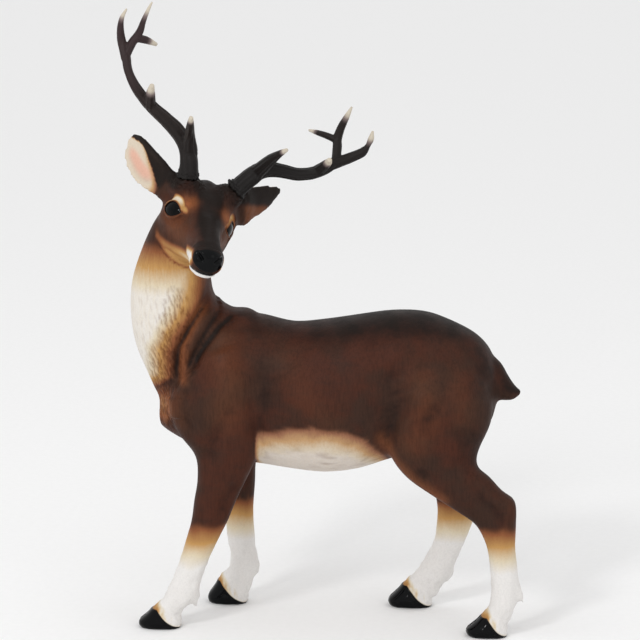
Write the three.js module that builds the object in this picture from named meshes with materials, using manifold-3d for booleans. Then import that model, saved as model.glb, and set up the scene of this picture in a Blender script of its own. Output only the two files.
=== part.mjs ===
// A painted resin figurine of a standing stag that looks back over its left side.
// Millimetres, +Z up. The stag walks towards -X, its own left flank is at -Y, and it stands on Z = 0.
import * as THREE from 'three';
import { mergeVertices } from 'three/addons/utils/BufferGeometryUtils.js';
import Module from 'manifold-3d';

// Driving dimensions
const SOLE_LEVEL = -2;               // height of the soles in the frame that the rings are written in
const ORIGIN_SHIFT = [-4.2, 22, -SOLE_LEVEL];  // puts the origin mid-footprint, on the ground
const HEAD_TURN = 102;               // degrees, from straight ahead to the left
const HEAD_NOD = 15;                 // degrees, nose down
const HEAD_TILT = 17;                // degrees, left ear down
const CROWN = [-82.6, -9.7, 331.5];  // top of the skull between the antlers
const EYE_RADIUS = 8;
const EYE_PLACE = [25, 19.5, -14.5]; // forward, sideways and up from the crown
const SEAT_GAP = 0.3;                // between an antler's burr and its seat on the skull
const SEAT_RADIUS = 8.2;
const SEAT_FOOT_RADIUS = 13;
const SEAT_DEPTH = 12;
const SEAT_CLEARANCE = 1.5;          // trimmed around the seat's top, so that the burr has room
const BURR_PROFILE = [[SEAT_GAP, 7], [1.5, 7.8], [3.5, 7.3], [5, 6]];  // height above the seat, and radius
const STEM_START = 2;                // where the antler's beam starts inside its burr
const HOOF_HALF_WIDTH = 12;
const GROUND_BLOCK = [400, 200, 20]; // what is trimmed away under the soles

// Smoothness: sides of a ring, and steps along a form
const TRUNK_SIDES = 18;
const LIMB_SIDES = 12;
const TINE_SIDES = 8;
const BEAM_SIDES = 10;
const EYE_SIDES = 12;
const EYE_ROWS = 8;
const STEPS_PER_RING = 2;
const MERGE_DISTANCE = 1e-3;
const RING_GUIDE = [0.3, 0.2, 1];    // a direction that no antler branch follows; its rings are turned by it

const wasm = await Module();
wasm.setup();

const vector = (p) => new THREE.Vector3(p[0], p[1], p[2]);

// A closed form through rings. A ring has a centre, two half axes, a squareness (2 is an ellipse)
// and a cup, which bends its two sides back along the second half axis.
function loft(rings, sides, steps = (rings.length - 1) * STEPS_PER_RING) {
  const track = (key) => new THREE.CatmullRomCurve3(rings.map((ring) => ring[key]), false, 'centripetal');
  const [centres, firsts, seconds] = ['centre', 'first', 'second'].map(track);
  const between = (key, t) => {
    const place = t * (rings.length - 1);
    const low = Math.min(Math.floor(place), rings.length - 2);
    return THREE.MathUtils.lerp(rings[low][key], rings[low + 1][key], place - low);
  };
  const turn = new THREE.Vector3()
    .crossVectors(firsts.getPoint(0.5), centres.getTangent(0.5))
    .dot(seconds.getPoint(0.5));
  const side = turn < 0 ? -1 : 1;
  const geometry = new THREE.CylinderGeometry(1, 1, 1, sides, steps);
  const places = geometry.attributes.position;
  for (let i = 0; i < places.count; i += 1) {
    const t = places.getY(i) + 0.5;
    const reach = Math.hypot(places.getX(i), places.getZ(i));
    const angle = Math.atan2(places.getZ(i), places.getX(i));
    const power = 2 / between('square', t);
    const round = (c) => Math.sign(c) * Math.abs(c) ** power * reach;
    const across = round(Math.cos(angle));
    const along = round(Math.sin(angle)) * side - between('cup', t) * across * across;
    const point = centres.getPoint(t)
      .addScaledVector(firsts.getPoint(t), across)
      .addScaledVector(seconds.getPoint(t), along);
    places.setXYZ(i, point.x, point.y, point.z);
  }
  return geometry;
}

function solid(geometry) {
  geometry.deleteAttribute('normal');
  geometry.deleteAttribute('uv');
  const merged = mergeVertices(geometry, MERGE_DISTANCE);
  return new wasm.Manifold(new wasm.Mesh({
    numProp: 3,
    vertProperties: new Float32Array(merged.attributes.position.array),
    triVerts: new Uint32Array(merged.index.array),
  }));
}

function shell(manifold) {
  const mesh = manifold.getMesh();
  const geometry = new THREE.BufferGeometry();
  geometry.setAttribute('position', new THREE.BufferAttribute(new Float32Array(mesh.vertProperties), 3));
  geometry.setIndex(new THREE.BufferAttribute(new Uint32Array(mesh.triVerts), 1));
  geometry.computeVertexNormals();
  return geometry;
}

// A ring of the trunk: upright, at X, from its top to its bottom
const trunkRing = ([x, top, bottom, half, square = 2.2]) => ({
  centre: vector([x, 0, (top + bottom) / 2]),
  first: vector([0, 0, (top - bottom) / 2]),
  second: vector([0, half, 0]),
  square,
  cup: 0,
});

// A ring of the neck or a limb: from its front edge to its back edge as seen from the side
const limbRing = ([frontX, frontZ, backX, backZ, half, y, square = 2.2]) => ({
  centre: vector([(frontX + backX) / 2, y, (frontZ + backZ) / 2]),
  first: vector([(frontX - backX) / 2, 0, (frontZ - backZ) / 2]),
  second: vector([0, half, 0]),
  square,
  cup: 0,
});

// A round ring, square to its heading
function roundRing([x, y, z, radius], heading) {
  const aside = new THREE.Vector3().crossVectors(heading, vector(RING_GUIDE)).normalize();
  return {
    centre: vector([x, y, z]),
    first: aside.clone().multiplyScalar(radius),
    second: new THREE.Vector3().crossVectors(aside, heading).multiplyScalar(radius),
    square: 2,
    cup: 0,
  };
}

// The rings of an antler's branch, square to its path
function branchRings(points) {
  const path = new THREE.CatmullRomCurve3(points.map(vector));
  return points.map((point, i) => roundRing(point, path.getTangent(i / (points.length - 1))));
}

// The head's own frame: forward to the nose, left, and up, from the crown
const headFrame = new THREE.Matrix4()
  .makeRotationFromEuler(new THREE.Euler(
    THREE.MathUtils.degToRad(-HEAD_TILT),
    THREE.MathUtils.degToRad(HEAD_NOD),
    THREE.MathUtils.degToRad(180 + HEAD_TURN),
    'ZYX',
  ))
  .setPosition(vector(CROWN));

// Trunk, front to back: X, top, bottom, half width
const TRUNK = [
  [-121, 167, 147, 13],
  [-113, 184, 142, 24],
  [-101, 206, 135, 33],
  [-84, 226, 127, 38],
  [-64, 235, 120, 40],
  [-44, 232, 118.5, 41],
  [-20, 228, 115, 44],
  [5, 229.5, 113, 46.5],
  [30, 233.5, 117, 46],
  [54, 237, 125, 44],
  [78, 236.5, 131, 42],
  [98, 230, 138, 38],
  [117, 218.5, 143, 32],
  [128, 205, 154, 21],
  [133, 190, 168, 9],
];

// Neck, bottom to top: front X and Z, back X and Z, half width, Y
const NECK = [
  [-118, 160, -30, 214, 34, 0],
  [-130, 187, -50, 234, 33, 0],
  [-139, 210, -68, 241, 31, -1],
  [-142, 234, -80, 249, 29, -2],
  [-139.5, 258, -84, 265, 27, -3],
  [-132.5, 281, -83, 284, 26, -4],
  [-124, 300, -79, 302, 24, -4],
  [-115.5, 315, -73, 314, 19, -5],
];

// Shoulder and front legs, top to fetlock: front X and Z, back X and Z, half width, distance from the spine
const SHOULDER = [
  [-86, 224, -46, 224, 12, 18],
  [-102, 197, -43, 194, 18, 24],
  [-110, 170, -41, 166, 20, 27],
  [-105, 149, -41, 144, 18.5, 28],
];
const FRONT_LEG_LEFT = [
  ...SHOULDER,
  [-91.5, 131, -45, 129, 16, 29],
  [-89.5, 113, -53, 112, 14, 30],
  [-92, 96, -60.5, 96, 12.5, 31],
  [-94, 81, -66.5, 81, 11.5, 32],
  [-97.5, 68, -73.5, 67, 10, 33],
  [-102, 53, -80.5, 52, 9.5, 34],
  [-107.5, 38, -86.5, 36, 9.5, 35],
  [-114, 24, -90, 22, 10.5, 35],
  [-119, 17, -100, 12, 9.5, 35],
  [-122, 13, -104, 6, 9, 35],
];
const FRONT_LEG_RIGHT = [
  ...SHOULDER,
  [-90, 131, -47, 129, 16, 29],
  [-84, 113, -52, 112, 14, 30],
  [-79, 96, -53, 95, 12, 32],
  [-76, 78, -54.5, 77, 10.5, 33],
  [-76, 64, -54.5, 63, 10, 34],
  [-74.5, 46, -53.5, 45, 9, 35],
  [-72.5, 36, -51.5, 35, 9.5, 35],
  [-74.5, 25, -52.5, 24, 10.5, 35],
  [-79, 18, -58, 14, 9.5, 35],
  [-80, 14, -62, 7, 9, 35],
];

// Thigh and hind legs, hip to fetlock
const THIGH = [
  [55, 206, 119, 206, 25, 12],
  [47, 176, 128.5, 184, 28, 17],
  [48, 147, 128, 163, 25.5, 21],
];
const HIND_LEG_LEFT = [
  ...THIGH,
  [56, 130, 119, 139, 21, 25],
  [68, 116, 118, 126, 17, 28],
  [86, 104, 128, 118.5, 13.5, 31],
  [103, 94, 138.5, 109, 12, 34],
  [116, 85, 148.5, 101, 11, 36],
  [123, 76, 150, 83, 10.5, 37],
  [127.5, 65, 149.5, 67, 9.5, 37],
  [130.5, 50, 150.5, 51, 9, 37],
  [131.5, 35, 151.5, 36, 9.5, 37],
  [130.5, 22, 150, 22, 10.5, 37],
  [127, 17, 146, 11, 9.5, 37],
  [124, 13, 143, 6, 9, 37],
];
const HIND_LEG_RIGHT = [
  ...THIGH,
  [55, 130, 118, 141, 21, 25],
  [65, 116, 115, 128, 17, 28],
  [77, 104, 117, 113, 13.5, 31],
  [84.5, 92, 121, 98, 12, 34],
  [87.5, 77, 119, 82, 11, 36],
  [87, 63, 113.5, 62, 10, 37],
  [84, 50, 107, 46, 9.5, 37],
  [78, 38, 102, 33, 9.5, 37],
  [70.5, 26, 95.5, 21, 10.5, 37],
  [66, 19, 88, 12, 9.5, 37],
  [63, 15, 84, 7, 9, 37],
];

// Hooves: toe X, heel X, and the top of the toe's wall as X and Z
const HOOVES = [
  { toe: -134.5, heel: -102, wallX: -119.5, wallZ: 18, y: -35 },
  { toe: -90, heel: -58, wallX: -78.5, wallZ: 21.5, y: 35 },
  { toe: 112, heel: 143, wallX: 128, wallZ: 19, y: -37 },
  { toe: 50, heel: 84, wallX: 65, wallZ: 21, y: 37 },
];

// Rings of a hoof, ground to coronet: share of the wall height, share of the way from the toe to the wall top,
// how far the heel is set back, and how much narrower than the hoof
const HOOF_RINGS = [
  [-0.14, 0.09, 0.5, 1],
  [0, 0.06, 0, 0.5],
  [0.18, 0, 0, 0],
  [0.45, 0.3, 0.5, 1],
  [0.77, 0.78, 3, 3],
  [1, 1.1, 7, 5],
];

// Tufts behind the fetlocks: root, middle and tip in X and Z, and the distance from the spine's plane
const TUFTS = [
  { root: [-92, 30], middle: [-89.5, 24], tip: [-88.5, 18], y: -35 },
  { root: [-55, 32], middle: [-52, 27], tip: [-52, 20.5], y: 35 },
  { root: [145, 46], middle: [151, 34], tip: [155.5, 23.5], y: -37 },
  { root: [96, 32], middle: [98, 25], tip: [96.5, 18], y: 37 },
];
const TUFT_ROOT = [4, 6];    // half length and half width
const TUFT_MIDDLE = [3, 4.5];
const TUFT_TIP = [0.8, 1];

const TAIL = [
  [114, 200, 124, 209, 9, 0],
  [126, 186, 135.5, 199, 9.5, 0],
  [133, 173, 142, 188, 9, 0],
  [138, 170, 147, 181, 8, 0],
  [145, 171, 150, 178.5, 5, 0],
  [149.5, 174, 151.5, 177, 2, 0],
];

// Head in its own frame, back to nose: forward place, top, bottom, half width, squareness
const HEAD = [
  [-18, -10, -38, 12, 2],
  [-11, -1, -48, 21, 2.1],
  [2, 4, -57, 26.5, 2.3],
  [17, 2.5, -57, 27.5, 2.4],
  [30, -2.5, -52.5, 25.5, 2.3],
  [43, -6.5, -46, 19.5, 2.2],
  [56, -9.5, -41.5, 15.5, 2.3],
  [68, -12, -39, 14, 2.5],
  [79, -13.5, -37.5, 13.2, 2.5],
  [87, -15, -35, 11, 2.4],
  [90.5, -18, -29, 6.5, 2.2],
];

// Ears in the head's frame, root to tip: forward, left and up, half breadth, half thickness, cup
const EAR_LEFT = [
  [4, 23, -14, 9, 7, 0],
  [1, 31, -11, 10.5, 5, 0.6],
  [-6, 38, -8, 11.5, 3, 2],
  [-13, 45, -4.5, 10.5, 2.6, 2],
  [-19, 51, -1, 7.5, 2.2, 1.4],
  [-25, 56.5, 1.5, 2, 1.4, 0.3],
];
const EAR_RIGHT = [
  [5, -22, -13, 9.5, 7, 0],
  [-1, -30, -8.5, 12, 5, 0.6],
  [-10, -38, -5, 13.5, 3, 2],
  [-20, -46.5, -1, 13.5, 2.6, 2],
  [-29, -53, 3.5, 10.5, 2.4, 1.6],
  [-38.5, -57, 7, 3, 1.4, 0.3],
];
const EAR_FACE = [0.62, 0.75, 0.22];  // where the left ear's open side looks

// Antlers in the head's frame: forward, left, up and radius
const ANTLER_RIGHT = {
  beam: [
    [9.5, -17, 5.5, 7], [8, -19, 16.5, 7.2], [3, -25, 27, 6.8], [0, -35, 35, 5.8], [-2, -45, 40.5, 5.2],
    [-4, -61, 48.5, 4.4], [-6, -73, 57, 3.7], [-13, -81, 65, 3.2], [-21, -85, 73, 3.4],
  ],
  tines: [
    [[5, -21, 23, 5.8], [12, -27, 38.5, 3.9], [22, -31, 50, 2.8], [29, -34, 58.5, 1.6]],
    [[-3, -60, 48, 4.4], [3, -64, 59, 3.3], [7, -66, 67, 1.7]],
    [[-20, -85, 71, 3], [-27, -91.5, 81.5, 3.2], [-26, -95, 89.5, 2.7], [-25, -97, 99, 1.8], [-23, -96, 108, 0.7]],
    [[-21, -85, 72.5, 3], [-26, -84, 82.5, 3.2], [-27, -81, 92, 2.8], [-26, -81, 102, 2], [-27, -80, 111, 1.3],
      [-27, -79, 117, 0.6]],
    [[-26, -82, 87, 2.8], [-29, -73, 86.5, 2.4], [-33, -64.5, 84, 1.1]],
  ],
};
const ANTLER_LEFT = {
  beam: [
    [10, 18.5, 5.5, 6.6], [9, 27, 18, 6.4], [7, 35, 25.5, 6.1], [9, 47, 28.5, 5.1], [12, 60, 31, 4.7],
    [14, 71, 37.5, 4.6], [11, 80, 44, 4.2], [6, 86, 50, 3.4],
  ],
  tines: [
    [[8, 30, 22, 5.8], [21, 34, 39.5, 4], [29, 36.5, 48.5, 2.7], [35.5, 39.5, 56, 1.3]],
    [[14, 72, 39, 4.4], [21, 75, 49, 3.1], [26, 74.5, 54, 1.7]],
    [[10, 80, 44, 4], [8, 93, 53, 3.6], [10, 100, 61.5, 2.9], [10, 102, 71, 2], [11, 101, 79, 0.7]],
    [[8, 84, 47, 3.2], [0, 83, 56, 3.1], [-4, 82, 61, 3.1], [-5, 82, 69, 2.7], [-4, 83, 79, 2], [-3, 84, 88, 0.7]],
    [[-3, 83, 59.5, 2.6], [-7, 75.5, 59.5, 2.2], [-14, 69, 57.5, 1.8], [-20, 64, 55.5, 0.7]],
  ],
};

const mirrored = (ring, sideSign) => {
  const copy = [...ring];
  copy[5] *= sideSign;
  return copy;
};

function limb(rings, sideSign) {
  return solid(loft(rings.map((ring) => limbRing(mirrored(ring, sideSign))), LIMB_SIDES));
}

// A hoof, sole to coronet, leaning forward, flat underneath
function hoof({ toe, heel, wallX, wallZ, y }) {
  const rings = HOOF_RINGS.map(([height, lean, setback, narrowing]) => {
    const front = THREE.MathUtils.lerp(toe, wallX, lean);
    const back = heel - setback;
    return {
      centre: vector([(front + back) / 2, y, THREE.MathUtils.lerp(SOLE_LEVEL, wallZ, height)]),
      first: vector([(front - back) / 2, 0, 0]),
      second: vector([0, HOOF_HALF_WIDTH - narrowing, 0]),
      square: 2.4,
      cup: 0,
    };
  });
  return solid(loft(rings, LIMB_SIDES, rings.length - 1));
}

function tuft({ root, middle, tip, y }) {
  const ring = ([x, z], [half, depth]) => ({
    centre: vector([x, y, z]),
    first: vector([half, 0, half / 2]),
    second: vector([0, depth, 0]),
    square: 2,
    cup: 0,
  });
  const rings = [ring(root, TUFT_ROOT), ring(middle, TUFT_MIDDLE), ring(tip, TUFT_TIP)];
  return solid(loft(rings, TINE_SIDES));
}

function headRing([forward, top, bottom, half, square]) {
  return {
    centre: vector([forward, 0, (top + bottom) / 2]),
    first: vector([0, 0, (top - bottom) / 2]),
    second: vector([0, half, 0]),
    square,
    cup: 0,
  };
}

function ear(stations) {
  const root = vector(stations[0]);
  const tip = vector(stations[stations.length - 1]);
  const sideSign = Math.sign(root.y);
  const face = vector([EAR_FACE[0], EAR_FACE[1] * sideSign, EAR_FACE[2]]).normalize();
  const breadth = new THREE.Vector3().crossVectors(tip.sub(root), face).normalize();
  const rings = stations.map(([forward, left, up, half, thick, cup]) => ({
    centre: vector([forward, left, up]),
    first: breadth.clone().multiplyScalar(half),
    second: face.clone().multiplyScalar(-thick),
    square: 2,
    cup,
  }));
  return loft(rings, LIMB_SIDES);
}

const inHead = (geometry) => solid(geometry.applyMatrix4(headFrame));

function eye(sideSign) {
  const [forward, left, up] = EYE_PLACE;
  const ball = new THREE.SphereGeometry(EYE_RADIUS, EYE_SIDES, EYE_ROWS);
  return inHead(ball.translate(forward, left * sideSign, up));
}

// The seat of an antler: a short upright on the skull, trimmed flat across the antler's path
function seat({ beam }) {
  const foot = vector(beam[0]);
  const heading = vector(beam[1]).sub(foot).normalize();
  const stand = new THREE.Quaternion().setFromUnitVectors(vector([0, 1, 0]), heading);
  const disc = (topRadius, footRadius, low, high) => inHead(
    new THREE.CylinderGeometry(topRadius, footRadius, high - low, TRUNK_SIDES)
      .translate(0, (low + high) / 2, 0)
      .applyQuaternion(stand)
      .translate(foot.x, foot.y, foot.z),
  );
  return {
    post: disc(SEAT_RADIUS, SEAT_FOOT_RADIUS, -SEAT_DEPTH, 0),
    room: disc(SEAT_RADIUS + SEAT_CLEARANCE, SEAT_RADIUS + SEAT_CLEARANCE, 0, SEAT_DEPTH),
  };
}

function antler({ beam, tines }) {
  const foot = vector(beam[0]);
  const heading = vector(beam[1]).sub(foot).normalize();
  const at = (distance, radius) => {
    const point = foot.clone().addScaledVector(heading, distance);
    return [point.x, point.y, point.z, radius];
  };
  const burr = BURR_PROFILE.map(([height, radius]) => roundRing(at(height, radius), heading));
  const stem = [at(STEM_START, beam[0][3]), ...beam.slice(1)];
  return [
    inHead(loft(burr, BEAM_SIDES, burr.length - 1)),
    inHead(loft(branchRings(stem), BEAM_SIDES)),
    ...tines.map((tine) => inHead(loft(branchRings(tine), TINE_SIDES, tine.length + 1))),
  ].reduce((whole, piece) => whole.add(piece));
}

// Everything under the soles' plane is trimmed away
const underground = solid(
  new THREE.BoxGeometry(...GROUND_BLOCK).translate(0, 0, SOLE_LEVEL - GROUND_BLOCK[2] / 2),
);

function stagBody() {
  const seats = [ANTLER_LEFT, ANTLER_RIGHT].map(seat);
  const parts = [
    solid(loft(TRUNK.map(trunkRing), TRUNK_SIDES)),
    solid(loft(NECK.map(limbRing), TRUNK_SIDES)),
    inHead(loft(HEAD.map(headRing), TRUNK_SIDES)),
    inHead(ear(EAR_LEFT)),
    inHead(ear(EAR_RIGHT)),
    eye(1),
    eye(-1),
    solid(loft(TAIL.map(limbRing), LIMB_SIDES)),
    limb(FRONT_LEG_LEFT, -1),
    limb(FRONT_LEG_RIGHT, 1),
    limb(HIND_LEG_LEFT, -1),
    limb(HIND_LEG_RIGHT, 1),
    ...HOOVES.map(hoof),
    ...TUFTS.map(tuft),
    ...seats.map(({ post }) => post),
  ];
  const joined = parts.reduce((whole, piece) => whole.add(piece));
  return seats.reduce((whole, { room }) => whole.subtract(room), joined.subtract(underground));
}

function piece(name, manifold, color, roughness) {
  const material = new THREE.MeshStandardMaterial({ color, roughness, metalness: 0 });
  const mesh = new THREE.Mesh(shell(manifold), material);
  mesh.name = name;
  return mesh;
}

const stag = new THREE.Group();
stag.add(piece('body', stagBody(), 0x4a2a1c, 0.55));
stag.add(piece('antler_left', antler(ANTLER_LEFT), 0x2c201d, 0.5));
stag.add(piece('antler_right', antler(ANTLER_RIGHT), 0x2c201d, 0.5));
stag.position.set(...ORIGIN_SHIFT);

export default stag;
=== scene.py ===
"""A deer figurine: a painted resin casting of a standing stag that looks back over its left side.

The forms are written in the sculptor's frame: millimetres, the stag walking towards -X, its own left
flank at -Y, the spine in the plane Y = 0. settle() puts each finished piece in the row frame, in metres.
"""
import math

import bmesh
import bpy
import numpy as np
from bpy.props import FloatProperty, FloatVectorProperty, PointerProperty
from mathutils import Euler, Matrix, Vector, noise


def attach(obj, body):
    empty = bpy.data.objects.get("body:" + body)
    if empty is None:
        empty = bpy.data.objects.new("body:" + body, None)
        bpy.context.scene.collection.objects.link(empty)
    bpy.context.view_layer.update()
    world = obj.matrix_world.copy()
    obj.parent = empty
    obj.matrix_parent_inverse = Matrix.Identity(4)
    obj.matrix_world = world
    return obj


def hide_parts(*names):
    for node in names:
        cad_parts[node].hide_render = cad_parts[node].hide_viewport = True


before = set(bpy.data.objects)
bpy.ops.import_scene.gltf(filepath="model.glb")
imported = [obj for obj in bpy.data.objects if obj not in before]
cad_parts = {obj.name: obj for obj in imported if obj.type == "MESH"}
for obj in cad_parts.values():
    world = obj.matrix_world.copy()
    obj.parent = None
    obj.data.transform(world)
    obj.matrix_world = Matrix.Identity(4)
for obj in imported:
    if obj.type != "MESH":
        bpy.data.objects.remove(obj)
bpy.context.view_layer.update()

bl_info = {
    "name": "Deer Figurine",
    "version": (1, 0, 0),
    "blender": (4, 5, 0),
    "location": "View3D > Sidebar > Stag",
    "description": "Casts and paints a resin figurine of a standing stag",
    "category": "Add Mesh",
}

MM = 0.001
ORIGIN_SHIFT = (-4.2, 22, 2)
HEAD_TURN = 102
HEAD_NOD = 15
HEAD_TILT = 17
CROWN = (-82.6, -9.7, 331.5)
HEAD_AXES = Euler([math.radians(a) for a in (-HEAD_TILT, HEAD_NOD, 180 + HEAD_TURN)], "XYZ")
HEAD_FRAME = Matrix.Translation(CROWN) @ HEAD_AXES.to_matrix().to_4x4()
SETTLED = Matrix.Scale(MM, 4) @ Matrix.Translation(ORIGIN_SHIFT)

# Trunk, front to back: X, top, bottom, half width
TRUNK = [
    (-121, 167, 147, 13), (-113, 184, 142, 24), (-101, 206, 135.5, 33), (-84, 225, 128, 38),
    (-64, 233.5, 121, 40), (-44, 232.5, 119, 41), (-20, 227.3, 115.7, 44), (5, 229.5, 113.7, 46.5),
    (30, 233.5, 117, 46), (54, 237, 125, 44), (78, 236.5, 131, 42), (98, 230, 138, 38),
    (117, 220, 143, 32), (128.5, 207, 154, 21), (133, 190, 168, 9),
]

# Neck, bottom to top: front X and Z, back X and Z, half width, Y
NECK = [
    (-118, 160, -30, 214, 34, 0), (-130, 187, -50, 235, 33, 0), (-139, 210, -66, 237.4, 31, -1),
    (-142.4, 234, -77, 246, 29, -2), (-141, 258, -81.5, 263, 27, -3), (-133.8, 281, -84.5, 283, 26, -4),
    (-125.3, 300, -80, 301, 24, -4), (-115.5, 315, -73, 314, 19, -5),
]

# Shoulder and front legs, top to fetlock: front X and Z, back X and Z, half width, distance from the spine
SHOULDER = [
    (-86, 224, -46, 224, 12, 18), (-102, 197, -43, 194, 18, 24), (-110, 170, -41, 166, 20, 27),
    (-105, 149, -41, 144, 18.5, 28),
]
FRONT_LEG_LEFT = SHOULDER + [
    (-91.5, 131, -45, 129, 16, 29), (-89.5, 113, -53, 112, 14, 30), (-92, 96, -60.5, 96, 12.5, 31),
    (-94, 81, -66.5, 81, 11.5, 32), (-97.5, 68, -73.5, 67, 10, 33), (-102, 53, -80.5, 52, 9.5, 34),
    (-107.5, 38, -86.5, 36, 9.5, 35), (-114, 24, -90, 22, 10.5, 35), (-118.3, 15.5, -100, 12, 9.5, 35),
    (-121, 11.5, -104, 6, 9, 35),
]
FRONT_LEG_RIGHT = SHOULDER + [
    (-90, 131, -47, 129, 16, 29), (-84, 113, -52, 112, 14, 30), (-79, 96, -53, 95, 12, 32),
    (-76, 78, -54.5, 77, 10.5, 33), (-76, 64, -54.5, 63, 10, 34), (-74.5, 46, -53.5, 45, 9, 35),
    (-72.5, 36, -51.5, 35, 9.5, 35), (-74.5, 25, -52.5, 24, 10.5, 35), (-79, 18, -55.5, 14, 9.5, 35),
    (-80, 14, -58, 7, 9, 35),
]

# Thigh and hind legs, hip to fetlock
THIGH = [(55, 206, 119, 206, 25, 12), (47, 176, 128.5, 184, 28, 17), (48, 147, 130, 160, 25.5, 21)]
HIND_LEG_LEFT = THIGH + [
    (56, 130, 121, 138, 21, 25), (68, 116, 120, 126, 17, 28), (86, 104, 129, 118.5, 13.5, 31),
    (103, 94, 138.5, 109, 12, 34), (117, 85, 148.5, 101, 11, 36), (124, 76, 149.5, 83, 10.5, 37),
    (128.3, 65, 149, 67, 9.5, 37), (130.5, 50, 150.5, 51, 9, 37), (131.5, 35, 151.5, 36, 9.5, 37),
    (130.5, 22, 150, 22, 10.5, 37), (127, 17, 146, 11, 9.5, 37), (124, 13, 143, 6, 9, 37),
]
HIND_LEG_RIGHT = THIGH + [
    (55, 130, 118, 141, 21, 25), (65, 116, 115, 128, 17, 28), (77, 104, 117, 113, 13.5, 31),
    (84.5, 92, 121, 98, 12, 34), (87.5, 77, 119, 82, 11, 36), (87, 63, 113.5, 62, 10, 37),
    (85, 50, 107, 46, 9.5, 37), (79.2, 38, 102, 33, 9.5, 37), (71.5, 26, 96, 21, 10.5, 37),
    (66.5, 19, 91, 13, 9.5, 37), (63, 15, 88, 6, 9, 37),
]

# Hooves: toe X, heel X, top of the toe's wall as X and Z, and Y
HOOVES = [
    (-134.5, -102, -119.5, 18, -35), (-90.5, -59.5, -80, 21.5, 35), (113, 144, 129, 19, -37),
    (50, 84, 65, 21, 37),
]
# Rings of a hoof: share of the wall's height, share of the way from toe to wall top, setback, narrowing
HOOF_RINGS = [
    (0, 0.1, 1, 1.2), (0.1, 0, 0, 0.2), (0.25, 0, 0, 0), (0.45, 0.3, 0.5, 1), (0.77, 0.78, 3, 3),
    (1, 1.1, 7, 5),
]
HOOF_HALF_WIDTH = 12
# How far the gloss black ends under the top of the hoof's wall
WALL_DROP = 6.5
# Height of the wall's edge at the heel, and how steeply the edge falls from the toe
WALL_FOOT = 1
WALL_CURVE = 1.7
# How far a hoof's paint and relief reach: ahead, behind, aside and up
HOOF_AHEAD = 4
HOOF_BEHIND = 10
HOOF_ASIDE = 17
HOOF_ABOVE = 45
FAR_ABOVE = 50
# The cleft at the toe, the rim of the wall, and the fur above it: height or depth, and width of each
HOOF_SPLIT = (1.6, 1.1)
HOOF_RIM = (0.5, 1.6)
SOCK_FUR = ((0.75, 4.2), (0.45, 1.9))
SOCK_FUR_TOP = (62, 45)
SOCK_FUR_STRETCH = (1, 1, 0.45)

# Tufts behind the fetlocks: root, middle and tip in X and Z, and Y
TUFTS = [
    ((-94, 30), (-91, 22), (-91.5, 12.5), -35), ((-55, 32), (-52, 27), (-52, 20.5), 35),
    ((145, 46), (151, 34), (155.5, 23.5), -37), ((96, 32), (98, 25), (96.5, 18), 37),
]

# Half length and half width of a tuft at its root, middle and tip
TUFT_SIZES = ((4, 6), (3, 4.5), (0.8, 1))

# Tail, root to tip, written like the neck
TAIL = [
    (114, 200, 124, 209, 9, 0), (126, 186, 135.5, 199, 9.5, 0), (133, 173, 142, 188, 9, 0),
    (138, 170, 147, 181, 8, 0), (145, 171, 150, 178.5, 5, 0), (149.5, 174, 151.5, 177, 2, 0),
]

# Head in its own frame, back to nose: forward place, top, bottom, half width, squareness
HEAD = [
    (-18, -10, -38, 12, 2), (-11, -2, -48, 21, 2.1), (2, 2.8, -57, 27, 2.3), (17, 2, -57, 27, 2.4),
    (30, -2.5, -52.5, 22, 2.3), (43, -6.5, -46, 15.2, 2.2), (56, -9.5, -41.5, 11.6, 2.3),
    (68, -12, -39, 11.3, 2.4), (79, -13.5, -38.5, 11.9, 2.4), (87, -15.5, -36, 9.7, 2.3),
    (90, -18.5, -31, 5.5, 2.2),
]

# Ears in the head's frame, root to tip: forward, left and up, half breadth, half thickness, cup
EAR_LEFT = [
    (4, 23, -13, 12.5, 7, 0), (1, 31, -9.5, 15.2, 5, 0), (-6, 38, -7.2, 14, 3.4, -0.5),
    (-13, 46, -5.2, 11.6, 2.8, -0.5), (-19, 52.5, -2.2, 8.2, 2.2, -0.4), (-25.5, 59.3, 1.8, 1.8, 1.4, 0),
]
EAR_RIGHT = [
    (5, -22, -11, 10, 7, 0), (-1, -30.2, -7.2, 12.4, 5, 0.6), (-10, -38.4, -4.6, 14.2, 3.5, 2),
    (-20, -46.6, -1.4, 13.8, 3.2, 2), (-29, -53.8, 2.8, 11, 3, 1.6), (-38, -58.6, 6, 4.6, 2.8, 0.3),
]
# The way the left ear is turned; the right one mirrors it
EAR_FACE = (0.62, 0.75, 0.22)
# Which way each ear's hollow looks: the right one to the front, the left one turned back
EAR_OPENINGS = {-1: 1, 1: -1}
EARS = ((EAR_LEFT, 1), (EAR_RIGHT, -1))
EAR_HOLLOW = 1.5
# The back of the left ear is dark above a line and rusty below it: the way up, and the line's height
EAR_UPWARD = (-0.0437, -0.0241, 0.0867)
EAR_MIDDLE = -1.25

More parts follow.
